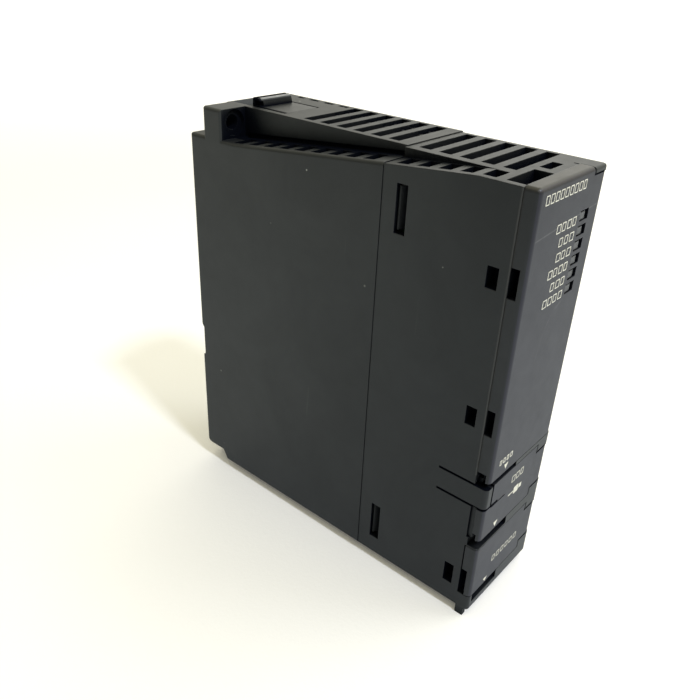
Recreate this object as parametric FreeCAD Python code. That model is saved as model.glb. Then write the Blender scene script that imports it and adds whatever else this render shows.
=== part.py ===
import FreeCAD, Part
import os

# Controller module of a rack-mounted programmable controller, as an assembly.
# Millimetres. X runs across the width (+X is the module's right side), Y along
# the depth (the rear mounting face is y = 0, the front face looks along -Y) and
# Z up. The origin is the centre of the rear mounting face.
# Here "depth" is measured forward from the rear face (depth = -y) and z from the
# underside of the case; every solid is lowered by half the height when saved.

# ---------------------------------------------------------------- dimensions
HEIGHT = 98.0
WIDTH = 27.4
DEPTH = 89.3                 # rear mounting face to front face
WALL = 1.6                   # moulded wall
REAR_HALF = WIDTH / 2.0      # half width of the rear case
FRONT_HALF = 13.6            # half width of the front case and its covers
REAR_INNER = REAR_HALF - WALL
FRONT_INNER = FRONT_HALF - WALL
SEAM = 57.0                  # front end of the rear case
FRONT_START = SEAM + 0.1     # rear end of the front case, after the seam gap
SHELL_FRONT = 86.15          # front edge of the front case side walls
FRONT_TOP = 97.8             # top of the front case
REAR_TOP = 91.3              # top of the low part at the very rear
FOOT_Z = -2.0                # lowest level of the small feet

# Raised band on top, with a sloping floor on its left
UPPER_START = 4.8            # rear face of the full-height part
BAND_X = -6.3                # left wall of the band, rear case
FRONT_BAND_X = -7.2          # left wall of the band, front case
POST_X, POST_FRONT = -5.6, 11.0           # right and front sides of the fixing post
SCREW_X, SCREW_Z = -9.7, 94.8             # module fixing screw
REAR_FLOOR = ((15.0, 91.4), (SEAM, 95.95))    # ends of the floor line: depth, z
SLOT_PITCH, SLOT_WIDTH = 4.62, 2.75       # ventilation slots

# Door and flaps, hinged on moulded pins along their right edge
PIN_RADIUS = 0.70
PIN_CLEARANCE = 0.05
BARREL_RADIUS = 1.4
HINGE_X = FRONT_HALF - BARREL_RADIUS
HINGE_DEPTH = DEPTH - BARREL_RADIUS
HINGE_GAP = 0.22             # between a cover and its hinge blocks
DOOR_BLOCK_X, FLAP_BLOCK_X = 8.3, 8.2     # left sides of the hinge blocks
DOOR_BARREL_TOP = 96.45

# Boards and their fixing screws (depth, z)
BOARD_THICKNESS = 1.6
MAIN_FACE, CARD_FACE = 9.0, -9.3          # inner faces of the two boards
MAIN_SCREWS = ((8.0, 12.0), (16.0, 82.2), (53.2, 26.0))
CARD_SCREWS = ((12.0, 12.0), (12.0, 80.0), (53.2, 26.0))
MAIN_BACK = MAIN_FACE + BOARD_THICKNESS
CARD_BACK = CARD_FACE - BOARD_THICKNESS

# Hook pivot (depth, z)
HOOK_DEPTH, HOOK_Z, HOOK_PIN_RADIUS = 23.2, 95.2, 0.6

# Battery and its cover
BATTERY_X, BATTERY_Z, BATTERY_RADIUS = -0.15, 11.2, 8.0
BATTERY_START, BATTERY_END = 18.2, 51.6   # the front end is the terminal
BATTERY_COVER_DEPTH, BATTERY_COVER_Z = 15.6, 0.95    # cover hinge
BATTERY_PIN_RADIUS = 0.5
BATTERY_OPENING_HALF, BATTERY_OPENING_FRONT = 9.6, 54.4
PLUG_Z = 35.0
PLUG_SPAN = (56.2, 60.6)                  # depth of the battery plug

# Parts seen through the bezel
LAMP_TOPS = [90.3 - i * 2.97 for i in range(6)]
LENS_X0, LENS_X1 = 5.2, 7.5
SWITCH_X, SWITCH_Z, SWITCH_DEPTH = 1.2, 62.0, 82.6   # mode switch pivot
SWITCH_PIN_RADIUS = 0.5
CARD_X0, CARD_X1 = -9.15, -5.35           # memory card slot
CARD_Z0, CARD_Z1 = 45.0, 88.4
EJECT_X0, EJECT_X1, EJECT_Z0, EJECT_Z1 = -9.2, -5.2, 38.9, 42.9
USB_HALF, USB_BOTTOM, USB_TOP = 3.85, 24.1, 28.0
SERIAL_Z, SERIAL_RADIUS = 11.5, 5.95

# Square windows in both sides of the front case: depth0, depth1, z0, z1
SQUARE_WINDOWS = (
    (81.7, 84.1, 78.3, 82.6),
    (81.7, 84.1, 48.5, 52.8),
    (82.0, 84.4, 5.5, 10.9),
)

# Sticker recess on the right side: depth0, depth1, z0, z1
LABEL_RECESS = (12.0, 50.0, 26.0, 78.0)
LABEL_FLOOR_X = REAR_HALF - 0.15

os.makedirs("parts", exist_ok=True)


# ------------------------------------------------------------------- helpers
def point(x, depth, z):
    return FreeCAD.Vector(x, -depth, z)


def box(x0, x1, depth0, depth1, z0, z1):
    return Part.makeBox(x1 - x0, depth1 - depth0, z1 - z0, point(x0, depth1, z0))


def extruded(points, travel):
    return Part.Face(Part.makePolygon(points + points[:1])).extrude(travel)


def side_prism(outline, x0, x1):
    """Outline of (depth, z) points, extruded from x0 to x1."""
    return extruded([point(x0, depth, z) for depth, z in outline], point(x1 - x0, 0, 0))


def plan_prism(outline, z0, z1):
    """Outline of (x, depth) points, extruded from z0 to z1."""
    return extruded([point(x, depth, z0) for x, depth in outline], point(0, 0, z1 - z0))


def rod_x(depth, z, radius, x0, x1):
    return Part.makeCylinder(radius, x1 - x0, point(x0, depth, z), FreeCAD.Vector(1, 0, 0))


def rod_y(x, z, radius, depth0, depth1):
    """Cylinder along the depth."""
    start = point(x, depth0, z)
    return Part.makeCylinder(radius, depth1 - depth0, start, FreeCAD.Vector(0, -1, 0))


def rod_z(x, depth, radius, z0, z1):
    return Part.makeCylinder(radius, z1 - z0, point(x, depth, z0), FreeCAD.Vector(0, 0, 1))


def flatten(items):
    flat = []
    for item in items:
        flat.extend(item if isinstance(item, list) else [item])
    return flat


def fuse(first, *others):
    return first.fuse(flatten(others)).removeSplitter()


def cut(shape, *tools):
    return shape.cut(flatten(tools))


def side_span(side, inner, outer):
    """Rising pair of x values for a span on the left (-1) or right (1) side."""
    return sorted((side * inner, side * outer))


def near(value, target):
    return abs(value - target) < 0.02


def on_edge(edge, test):
    """True when both ends and the middle of an edge satisfy test(x, depth, z)."""
    points = [vertex.Point for vertex in edge.Vertexes]
    points.append(edge.valueAt((edge.FirstParameter + edge.LastParameter) / 2.0))
    return all(test(p.x, -p.y, p.z) for p in points)


def round_edges(shape, radius, test):
    """Fillet the edges that satisfy the test, leaving out any that can't be filleted."""
    edges = [edge for edge in shape.Edges if edge.Length > 0.6 and on_edge(edge, test)]
    if not edges:
        return shape
    # Guards against the kernel refusing to fillet all the edges at once.
    try:
        rounded = shape.makeFillet(radius, edges)
        if rounded.isValid() and rounded.Volume > 0:
            return rounded
    except Exception:
        pass
    rounded = shape
    for edge in edges:
        centre = edge.CenterOfMass
        matches = [other for other in rounded.Edges
                   if other.CenterOfMass.distanceToPoint(centre) < 0.05]
        if not matches:
            continue
        # Guards against a single edge that can't take the radius; it stays sharp.
        try:
            trial = rounded.makeFillet(radius, [matches[0]])
            if trial.isValid() and trial.Volume > 0:
                rounded = trial
        except Exception:
            continue
    return rounded


def rounded_box(x0, x1, depth0, depth1, z0, z1, radius, axis):
    """Box with the four edges along "x" or "y" (the depth) rounded."""
    block = box(x0, x1, depth0, depth1, z0, z1)

    def runs_along(edge):
        span = edge.Vertexes[1].Point - edge.Vertexes[0].Point
        return abs(getattr(span, axis)) > 0.99 * edge.Length

    return block.makeFillet(radius, [edge for edge in block.Edges if runs_along(edge)])


def line_height(line, depth):
    """Height at a depth of the straight line through two (depth, z) points."""
    (depth0, z0), (depth1, z1) = line
    return z0 + (z1 - z0) / (depth1 - depth0) * (depth - depth0)


def rear_floor(depth):
    return line_height(REAR_FLOOR, depth)


FRONT_FLOOR = ((FRONT_START, rear_floor(FRONT_START) - 0.2), (77.3, FRONT_TOP))


def front_floor(depth):
    return line_height(FRONT_FLOOR, depth)


def save(name, shapes):
    """Write one STEP file; several solids go in it as a compound."""
    solids = []
    for shape in flatten([shapes]):
        for solid in shape.Solids:
            lowered = solid.copy()
            lowered.translate(FreeCAD.Vector(0, 0, -HEIGHT / 2.0))
            solids.append(lowered)
    piece = solids[0] if len(solids) == 1 else Part.makeCompound(solids)
    piece.exportStep("parts/" + name + ".step")


# ----------------------------------------------------------------- rear case
def rear_outer():
    """Outer form: band on the right, sloping floor on the left, fixing post."""
    underside = [(0, 2.6), (6.5, 2.6), (8.0, 0.0), (SEAM, 0)]
    right = side_prism(underside + [(SEAM, HEIGHT), (UPPER_START, HEIGHT),
                                    (UPPER_START, REAR_TOP), (0, REAR_TOP)],
                       BAND_X, REAR_HALF)
    left = side_prism(underside + [REAR_FLOOR[1], REAR_FLOOR[0], (9.0, REAR_TOP),
                                   (0, REAR_TOP)],
                      -REAR_HALF, BAND_X)
    post = box(-REAR_HALF, POST_X, UPPER_START, POST_FRONT, 88.0, HEIGHT)
    case = fuse(right, left, post)
    # lower rear edge, then the step in the underside
    case = round_edges(case, 1.4, lambda x, depth, z: near(depth, 0.0) and near(z, 2.6))
    case = round_edges(case, 0.6, lambda x, depth, z:
                       (near(depth, 6.5) and near(z, 2.6)) or (near(depth, 8.0) and near(z, 0.0)))
    # edges of both sides
    case = round_edges(case, 0.8, lambda x, depth, z:
                       near(abs(x), REAR_HALF) and not near(depth, SEAM)
                       and not (near(depth, 0.0) and 30.0 < z < 42.0))
    # left and rear edges of the band, upper rear edge of the low part
    case = round_edges(case, 0.35, lambda x, depth, z:
                       near(z, HEIGHT) and near(x, BAND_X) and depth > POST_FRONT + 0.2)
    case = round_edges(case, 0.4, lambda x, depth, z: near(z, HEIGHT) and near(depth, UPPER_START))
    return round_edges(case, 0.4, lambda x, depth, z: near(z, REAR_TOP) and near(depth, 0.0))


def rear_cavity():
    past_seam = SEAM + 1
    low, high = REAR_TOP - 2.0, HEIGHT - 1.5
    return [
        box(-REAR_INNER, REAR_INNER, WALL, past_seam, 4.2, REAR_TOP - 1.6),
        box(-REAR_INNER, REAR_INNER, 9.6, past_seam, WALL, 5.0),
        # inside the band, in front of and to the right of the hook's pocket
        box(BAND_X + 1.4, REAR_INNER, 25.9, past_seam, low, high),
        box(8.4, REAR_INNER, 6.4, 26.5, low, high),
        # below the sloping floor
        side_prism([(12.6, low), (past_seam, low), (past_seam, rear_floor(past_seam) - 1.5),
                    (REAR_FLOOR[0][0], REAR_FLOOR[0][1] - 1.5),
                    (12.6, REAR_FLOOR[0][1] - 1.55)], -REAR_INNER, BAND_X),
    ]


def rear_openings():
    first_slot = 28.0
    tools = []
    # slots through the band
    for i in range(6):
        depth = first_slot + i * SLOT_PITCH
        tools.append(box(-4.9, 12.4, depth, depth + SLOT_WIDTH, 96.2, HEIGHT + 1))
    # small openings along the right side of the band
    for depth0, depth1 in ((10.4, 12.3), (14.2, 17.0), (18.9, 21.7), (23.6, 26.3)):
        tools.append(box(11.4, 12.5, depth0, depth1, 95.6, HEIGHT + 1))
    # slots in the sloping floor
    for i in range(-3, 6):
        depth = first_slot + i * SLOT_PITCH
        floor = rear_floor(depth)
        tools.append(box(-12.7, -7.6, depth, depth + SLOT_WIDTH, floor - 1.75, floor + 2.0))
    # undercut where the band wall meets the sloping floor
    start, end = POST_FRONT + 0.6, SEAM + 1
    tools.append(side_prism([(start, rear_floor(start) + 0.02), (end, rear_floor(end) + 0.02),
                             (end, rear_floor(end) + 0.9), (start, rear_floor(start) + 1.1)],
                            BAND_X - 0.5, BAND_X + 0.7))
    # pocket of the fixing hook, open at the top and the rear
    tools.append(box(-4.75, 6.55, UPPER_START - 1, 24.9, REAR_TOP, 96.45))
    tools.append(box(-4.75, 6.55, UPPER_START - 1, 22.21, 96.0, HEIGHT + 1))
    # bore (M3 clearance) and counterbore of the fixing screw
    tools.append(rod_y(SCREW_X, SCREW_Z, 1.7, UPPER_START - 1, POST_FRONT + 1))
    tools.append(rod_y(SCREW_X, SCREW_Z, 2.95, POST_FRONT - 0.8, POST_FRONT + 1))
    # opening for the rack connector in the rear wall
    tools.append(box(-4.1, 5.1, -1, WALL + 0.5, 53.0, 87.0))
    # notches in both rear edges
    notch = [(-1, 31.6), (0, 31.7), (1.15, 32.3), (1.15, 40.5), (0, 42.0), (-1, 43.3)]
    for side in (-1, 1):
        tools.append(side_prism(notch, *side_span(side, REAR_HALF + 1, 10.2)))
    # underside opening for the battery, with the cover's hinge channel and pin holes
    half = BATTERY_OPENING_HALF
    hinge, hinge_z, channel = BATTERY_COVER_DEPTH, BATTERY_COVER_Z, 1.05
    tools += [
        box(-half, half, hinge, BATTERY_OPENING_FRONT, -1, WALL + 0.5),
        rod_x(hinge, hinge_z, channel, -half, half),
        box(-half, half, hinge - channel, hinge, -1, hinge_z),
        rod_x(hinge, hinge_z, BATTERY_PIN_RADIUS + PIN_CLEARANCE, -10.9, 10.9),
    ]
    tools.append(box(LABEL_FLOOR_X, REAR_HALF + 1, *LABEL_RECESS))
    # shallow panels in the rear wall: one below the connector, three on each side of it
    tools.append(box(-9.5, 9.5, -1, 0.5, 8.0, 28.0))
    for i in range(3):
        z = 56.0 + i * 10.0
        tools.append(box(-10.2, -5.6, -1, 0.5, z, z + 7.0))
        tools.append(box(6.6, 10.6, -1, 0.5, z, z + 7.0))
    # shallow finger recess in front of the battery cover
    tools.append(box(-4.0, 4.0, 54.3, 56.0, -1, 0.9))
    return tools


def rear_fittings():
    wall_x = REAR_INNER + 0.05      # slightly inside the side wall
    parts = []
    # bars along the underside of the slotted band
    for x in (5.4, 8.7):
        parts.append(box(x, x + 0.8, 25.95, 56.0, 94.9, HEIGHT - 0.7))
    # block at the right end of the hook's pivot
    parts.append(box(6.5, 8.0, 22.4, 25.0, 93.6, 97.0))
    # thicker wall inside the rear notches
    for side in (-1, 1):
        parts.append(box(*side_span(side, 9.8, wall_x), WALL - 0.05, 2.4, 30.6, 43.0))
    # board bosses
    for depth, z in MAIN_SCREWS:
        parts.append(rod_x(depth, z, 2.4, MAIN_BACK, wall_x))
    for depth, z in CARD_SCREWS:
        parts.append(rod_x(depth, z, 2.4, -wall_x, CARD_BACK))
    # guide ribs along the lower and upper board edges
    for z0, z1 in ((3.9, 4.9), (86.9, 87.9)):
        parts.append(box(MAIN_BACK, wall_x, 12.0, 50.0, z0, z1))
        parts.append(box(-wall_x, CARD_BACK, 14.0, 50.0, z0, z1))
    # latch tongues that reach into the front case windows: tongue, root and catch
    for side in (-1, 1):
        catch = [(side * 11.4, 60.7), (side * 12.9, 60.7),
                 (side * 12.9, 61.05), (side * 11.4, 62.0)]
        for z0, z1 in ((83.5, 92.2), (5.6, 14.4)):
            parts.append(box(*side_span(side, 10.95, 11.5), 49.0, 63.4, z0, z1))
            parts.append(box(*side_span(side, 11.2, wall_x), 49.0, 55.6, z0, z1))
            parts.append(plan_prism(catch, z0, z1))
    # projections under the rear edge that drop behind the rack's lower lip
    foot = [(0.4, 2.7), (0.4, -1.2), (1.0, FOOT_Z), (2.2, FOOT_Z), (3.4, 2.7)]
    for x in (-8.2, 5.0):
        parts.append(side_prism(foot, x, x + 3.2))
    return parts


def rear_case():
    case = cut(rear_outer(), rear_cavity())
    case = cut(case, rear_openings())
    case = fuse(case, rear_fittings())
    # pilot holes of the board screws and the hook's pivot hole
    pilot_radius, pilot_end = 1.05, REAR_HALF - 0.7
    drills = [rod_x(depth, z, pilot_radius, MAIN_BACK - 0.1, pilot_end)
              for depth, z in MAIN_SCREWS]
    drills += [rod_x(depth, z, pilot_radius, -pilot_end, CARD_BACK + 0.1)
               for depth, z in CARD_SCREWS]
    drills.append(rod_x(HOOK_DEPTH, HOOK_Z, HOOK_PIN_RADIUS + PIN_CLEARANCE, -5.6, 7.45))
    return cut(case, drills)


# ---------------------------------------------------------------- front case
def front_outer():
    right = box(FRONT_BAND_X, FRONT_HALF, FRONT_START, SHELL_FRONT, 0, FRONT_TOP)
    left = side_prism([(FRONT_START, 0), (SHELL_FRONT, 0), (SHELL_FRONT, FRONT_TOP),
                       FRONT_FLOOR[1], FRONT_FLOOR[0]], -FRONT_HALF, FRONT_BAND_X)
    case = fuse(right, left)
    case = round_edges(case, 0.8, lambda x, depth, z:
                       near(abs(x), FRONT_HALF) and not near(depth, FRONT_START)
                       and not near(depth, SHELL_FRONT))
    return round_edges(case, 0.3, lambda x, depth, z:
                       near(z, FRONT_TOP) and near(x, FRONT_BAND_X) and depth < 77.0)


def front_cavity():
    start, end = FRONT_START - 1, SHELL_FRONT - 1.5
    low, high = 89.0, FRONT_TOP - 1.5
    floor_end = FRONT_FLOOR[1][0]
    return [
        box(-FRONT_INNER, FRONT_INNER, start, end, WALL, 90.0),
        box(FRONT_BAND_X + 1.2, FRONT_INNER, start, end, low, high),
        side_prism([(start, low), (end, low), (end, high), (floor_end, high),
                    (start, front_floor(start) - 1.5)], -FRONT_INNER, FRONT_BAND_X),
    ]


def front_strips():
    """Solid parts that reach to the front plane: strips, bottom lip, hinge blocks."""
    rear = SHELL_FRONT - 0.5
    # above the upper flap, between the flaps, bottom lip
    parts = [box(-FRONT_HALF, FRONT_HALF, rear, DEPTH, z0, z1)
             for z0, z1 in ((35.3, 36.4), (18.5, 20.9), (0.0, 4.3))]
    # hinge blocks (left side, z0, z1), their left front edge chamfered
    chamfer = 0.35
    for x, z0, z1 in ((DOOR_BLOCK_X, 96.6, FRONT_TOP),
                      (FLAP_BLOCK_X, 33.15, 35.4), (FLAP_BLOCK_X, 20.8, 22.95),
                      (FLAP_BLOCK_X, 16.35, 18.6), (FLAP_BLOCK_X, 4.2, 6.45)):
        parts.append(plan_prism([(x, rear), (FRONT_HALF, rear), (FRONT_HALF, DEPTH),
                                 (x + chamfer, DEPTH), (x, DEPTH - chamfer)], z0, z1))
    return parts


def snap_finger():
    """Finger on the left side, its front end turned over the front face."""
    z0, z1 = 29.75, 34.95
    thickness = 1.3
    finger = fuse(box(-FRONT_HALF, -FRONT_HALF + thickness, SHELL_FRONT - 1.0, DEPTH, z0, z1),
                  box(-FRONT_HALF, -11.2, DEPTH - thickness, DEPTH, z0, z1))
    return round_edges(finger, 1.1, lambda x, depth, z:
                       near(x, -FRONT_HALF) and near(depth, DEPTH))


def bezel_openings():
    rear, front = SHELL_FRONT - 2.0, SHELL_FRONT + 0.2
    eject_gap, usb_gap = 0.15, 0.25
    tools = [box(LENS_X0 - 0.1, LENS_X1 + 0.1, rear, front, top - 2.1, top - 0.4)
             for top in LAMP_TOPS]
    tools += [
        box(CARD_X0 - 0.1, CARD_X1 + 0.1, rear, front, CARD_Z0, CARD_Z1),
        box(EJECT_X0 - eject_gap, EJECT_X1 + eject_gap, rear, front,
            EJECT_Z0 - eject_gap, EJECT_Z1 + eject_gap),
        box(SWITCH_X - 1.5, SWITCH_X + 1.5, rear, front, SWITCH_Z - 3.2, SWITCH_Z + 3.2),
        rounded_box(-USB_HALF - usb_gap, USB_HALF + usb_gap, rear, front,
                    USB_BOTTOM - usb_gap, USB_TOP + usb_gap, 0.5, "y"),
        rod_y(0, SERIAL_Z, SERIAL_RADIUS + 0.1, rear, front),
    ]
    return tools


def front_openings():
    outside_left = -FRONT_HALF - 1
    past_front = DEPTH + 1
    above = HEIGHT + 1
    # notches in the strips and the bottom lip, at the left
    tools = [
        box(-12.7, -2.0, 87.0, past_front, 35.0, 36.9),
        box(outside_left, -1.7, 86.6, past_front, 18.8, 21.0),
        box(-12.3, -1.7, 86.8, past_front, 2.1, 4.5),
        box(outside_left, -12.2, SHELL_FRONT + 0.05, past_front, 35.0, 36.9),
    ]
    # slots in the band and the sloping floor
    for i in range(5):
        depth = 58.9 + i * SLOT_PITCH
        tools.append(box(-5.2, 12.0, depth, depth + SLOT_WIDTH, 96.0, above))
        tools.append(box(-12.2, FRONT_BAND_X - 0.2, depth, depth + SLOT_WIDTH,
                         front_floor(depth) - 2.0, above))
    # the two foremost openings of the top
    tools.append(box(-12.1, -1.9, 82.0, SHELL_FRONT + 0.5, 94.0, above))
    tools.append(box(0.2, 5.6, 81.8, 84.0, 96.0, above))
    # latch windows and square windows, on both sides
    latch_windows = ((60.5, 63.1, 82.9, 92.8), (60.5, 63.1, 5.0, 15.0))
    for side in (-1, 1):
        span = side_span(side, FRONT_HALF + 1, FRONT_INNER - 0.5)
        for window in latch_windows + SQUARE_WINDOWS:
            tools.append(box(*span, *window))
    # slits above and below the snap finger
    slit_x = -FRONT_INNER + 0.2
    tools += [
        box(outside_left, slit_x, 77.3, SHELL_FRONT + 1, 34.95, 35.3),
        box(outside_left, slit_x, 77.3, SHELL_FRONT + 1, 29.4, 29.75),
        box(outside_left, -11.9, SHELL_FRONT - 0.6, past_front, 34.95, 35.31),
    ]
    # grooves that clear the covers' hinge barrels
    for z0, z1 in ((36.4, 96.6), (22.95, 33.15), (6.45, 16.35)):
        tools.append(rod_z(HINGE_X, HINGE_DEPTH, BARREL_RADIUS + 0.2, z0, z1))
    # hinge pin holes
    for z0, z1 in ((35.15, 36.45), (96.55, 97.5), (32.9, 34.2), (21.9, 23.2),
                   (16.1, 17.4), (5.4, 6.7)):
        tools.append(rod_z(HINGE_X, HINGE_DEPTH, PIN_RADIUS + PIN_CLEARANCE, z0, z1))
    tools += bezel_openings()
    # slots in the underside
    for i in range(2):
        depth = 60.2 + i * SLOT_PITCH
        tools.append(box(-9.0, 9.0, depth, depth + SLOT_WIDTH, -1, WALL + 0.5))
    return tools


def front_fittings():
    # walls of the wells under the two foremost openings of the top
    parts = [
        box(-12.1, -1.1, 81.2, 82.0, 92.0, 96.5),
        box(-1.9, -1.1, 81.2, 86.0, 92.0, 96.5),
        box(0.0, 6.2, 81.0, 81.8, 93.0, 96.5),
        box(5.6, 6.2, 81.0, 85.0, 93.0, 96.5),
    ]
    # blind pockets behind the square windows, left and right
    for depth0, depth1, z0, z1 in SQUARE_WINDOWS:
        outer = (depth0 - 0.7, depth1 + 0.5, z0 - 0.7, z1 + 0.7)
        inner = (depth0, depth1, z0, z1)
        parts.append(cut(box(-12.05, -9.5, *outer), box(-13.0, -10.2, *inner)))
        parts.append(cut(box(10.75, 12.05, *outer), box(11.4, 13.0, *inner)))
    # inner lip beside the upper flap's skirt
    parts.append(box(-13.15, -12.35, SHELL_FRONT - 0.5, 87.3, 21.0, 29.2))
    # feet under the front corners
    for side in (-1, 1):
        parts.append(box(*side_span(side, 12.3, 13.55), 86.2, 88.2, FOOT_Z, 0.6))
    return parts


def bezel_ribs():
    """Upright ribs on both sides of the mode switch and of the card slot."""
    width = 0.7
    switch_z = (SWITCH_Z - 3.9, SWITCH_Z + 3.9)
    card_z = (CARD_Z0 - 0.8, CARD_Z1 + 0.8)
    return [box(x, x + width, SHELL_FRONT - 0.05, SHELL_FRONT + 0.5, *span)
            for x, span in ((SWITCH_X - 1.5 - width, switch_z), (SWITCH_X + 1.5, switch_z),
                            (CARD_X0 - 0.1 - width, card_z), (CARD_X1 + 0.1, card_z))]


def front_case():
    case = cut(front_outer(), front_cavity())
    case = fuse(case, front_strips())
    case = round_edges(case, 0.9, lambda x, depth, z:
                       near(abs(x), FRONT_HALF) and near(depth, DEPTH))
    case = round_edges(case, 0.6, lambda x, depth, z:
                       near(depth, DEPTH) and (near(z, 0.0) or near(z, FRONT_TOP)))
    case = cut(case, front_openings())
    case = fuse(case, snap_finger())
    case = fuse(case, front_fittings())
    return fuse(case, bezel_ribs())


# ----------------------------------------------------------- door and flaps
def front_door():
    left = -13.4                 # slightly inside the case side
    rear = 86.17                 # rear edge of the skirt
    bottom, top = 36.55, HEIGHT
    inside = DEPTH - 1.5         # inner face of the front panel
    floor = bottom + 1.2
    outside_left, outside_right = -FRONT_HALF - 1, FRONT_HALF + 1
    door = box(left, HINGE_X, rear, DEPTH, bottom, top)
    door = round_edges(door, 1.0, lambda x, depth, z: near(x, left) and near(depth, DEPTH))
    door = round_edges(door, 0.9, lambda x, depth, z: near(z, top) and near(depth, DEPTH))
    door = round_edges(door, 0.7, lambda x, depth, z:
                       near(x, left) and near(z, top) and depth < DEPTH - 0.8)
    door = fuse(door, rod_z(HINGE_X, HINGE_DEPTH, BARREL_RADIUS, bottom, 96.5))
    # the hollow stops short of the barrel; behind the barrel all is cleared
    tools = [
        box(-FRONT_HALF + 1.3, HINGE_X - 1.2, rear - 1, inside, floor, DOOR_BARREL_TOP),
        cut(box(HINGE_X - 1.25, outside_right, rear - 1, HINGE_DEPTH, bottom - 1, 99.0),
            rod_z(HINGE_X, HINGE_DEPTH, BARREL_RADIUS, bottom - 2, 100.0)),
        # clear of the upper hinge block
        box(DOOR_BLOCK_X - HINGE_GAP, outside_right, rear - 1, DEPTH + 1, 96.5, HEIGHT + 1),
    ]
    # lamp windows
    for lamp_top in LAMP_TOPS:
        tools.append(box(5.0, 8.5, inside - 1, DEPTH + 1, lamp_top - 2.1, lamp_top))
    tools += [
        # notches in the left skirt
        box(outside_left, -FRONT_HALF + 1.5, rear - 1, 88.0, 77.5, 83.4),
        box(outside_left, -FRONT_HALF + 1.5, rear - 1, 88.0, 47.7, 53.6),
        box(outside_left, -FRONT_HALF + 2.2, rear - 1, 88.3, bottom - 1, 38.5),
        # right end of the lower skirt
        box(8.0, outside_right, rear - 1, inside, bottom - 1, floor),
    ]
    door = cut(door, tools)
    return fuse(door, rod_z(HINGE_X, HINGE_DEPTH, BARREL_RADIUS, bottom, DOOR_BARREL_TOP),
                rod_z(HINGE_X, HINGE_DEPTH, PIN_RADIUS, 35.35, 97.3))


def flap(z0, z1, barrel_z0, barrel_z1, rear):
    """Flap with a moulded barrel between two hinge blocks at its right edge."""
    past_right = FRONT_HALF + 1
    block_x = FLAP_BLOCK_X - HINGE_GAP
    pin_length = 1.1
    cover = box(-FRONT_HALF, HINGE_X, rear, DEPTH, z0, z1)
    cover = round_edges(cover, 1.0, lambda x, depth, z:
                        near(x, -FRONT_HALF) and near(depth, DEPTH))
    # hollow behind the panel, then the corners round the hinge blocks
    cover = cut(cover,
                box(-FRONT_HALF + 1.1, past_right, rear - 1, DEPTH - 1.3, z0 - 1, z1 + 1),
                box(block_x, past_right, rear - 1, DEPTH + 1, z0 - 1, barrel_z0),
                box(block_x, past_right, rear - 1, DEPTH + 1, barrel_z1, z1 + 1))
    return fuse(cover, rod_z(HINGE_X, HINGE_DEPTH, BARREL_RADIUS, barrel_z0, barrel_z1),
                rod_z(HINGE_X, HINGE_DEPTH, PIN_RADIUS,
                      barrel_z0 - pin_length, barrel_z1 + pin_length))


def usb_cover():
    cover = flap(21.05, 35.15, 23.25, 32.85, rear=87.45)
    # corner for the snap finger, groove in the front face, notch in the skirt
    return cut(cover, box(-FRONT_HALF - 1, -10.85, 80, DEPTH + 1, 29.4, 40.0),
               box(-10.9, -5.0, DEPTH - 0.7, DEPTH + 1, 28.95, 29.28),
               box(-FRONT_HALF - 1, -FRONT_HALF + 1.2, 80, 88.3, 20.0, 22.6))


def serial_cover():
    cover = flap(4.45, 18.35, 6.75, 16.05, rear=86.45)
    # notch in the skirt
    return cut(cover, box(-FRONT_HALF - 1, -FRONT_HALF + 1.2, 80, 87.8, 3.0, 11.5))


# ------------------------------------------------- fixing hook, battery cover
def module_hook():
    left, right = -4.15, 5.95
    plate = box(left, right, 11.3, 22.15, 96.5, HEIGHT)
    grip_rib = side_prism([(11.3, 97.0), (14.1, 97.0), (14.0, 98.2), (13.75, 99.2),
                           (13.2, 99.75), (12.55, 99.85), (12.45, 99.4), (12.1, 99.4),
                           (12.0, 99.85), (11.6, 99.85), (11.3, 99.5)], left, right)
    arm = side_prism([(0.9, 94.3), (0.9, 96.9), (1.5, 97.2), (2.6, 95.9), (11.6, 95.9),
                      (11.6, 96.8), (21.8, 96.8), (21.8, 94.3)], -3.2, 5.0)
    web = side_prism([(19.5, 94.3), (19.5, 96.8), (21.8, 96.8), (21.8, 96.1),
                      (23.2, 96.1), (23.2, 94.3)], -4.0, 5.8)
    hook = fuse(plate, grip_rib, arm, web,
                rod_x(HOOK_DEPTH, HOOK_Z, 0.95, left, right),
                rod_x(HOOK_DEPTH, HOOK_Z, HOOK_PIN_RADIUS, -5.3, 7.2))
    # step at the rib's left end, recess under the arm
    return cut(hook, box(-4.3, -3.2, 12.0, 15.0, HEIGHT + 0.15, 99.2),
               box(-2.0, 3.8, 12.0, 19.4, 94.0, 95.4))


def battery_cover():
    gap = 0.2
    half = BATTERY_OPENING_HALF - gap
    hinge, hinge_z = BATTERY_COVER_DEPTH, BATTERY_COVER_Z
    cover = box(-half, half, hinge, BATTERY_OPENING_FRONT - gap, 0.0, 1.5)
    cover = round_edges(cover, 0.4, lambda x, depth, z: near(z, 0.0) and depth > hinge + 0.1)
    cover = fuse(cover, rod_x(hinge, hinge_z, 0.9, -half, half),
                 rod_x(hinge, hinge_z, BATTERY_PIN_RADIUS, -10.6, 10.6))
    grooves = []
    for i in range(4):
        depth = 47.0 + i * 1.6
        grooves.append(box(-5.0, 5.0, depth, depth + 0.7, -1, 0.35))
    # the last tool trims the barrel's underside
    return cut(cover, grooves, box(-9.5, 9.5, hinge - 2, hinge, -1, 0.04))


# -------------------------------------------------------------------- boards
def board_holes(screws, x0, x1):
    return [rod_x(depth, z, 1.3, x0, x1) for depth, z in screws]


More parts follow.
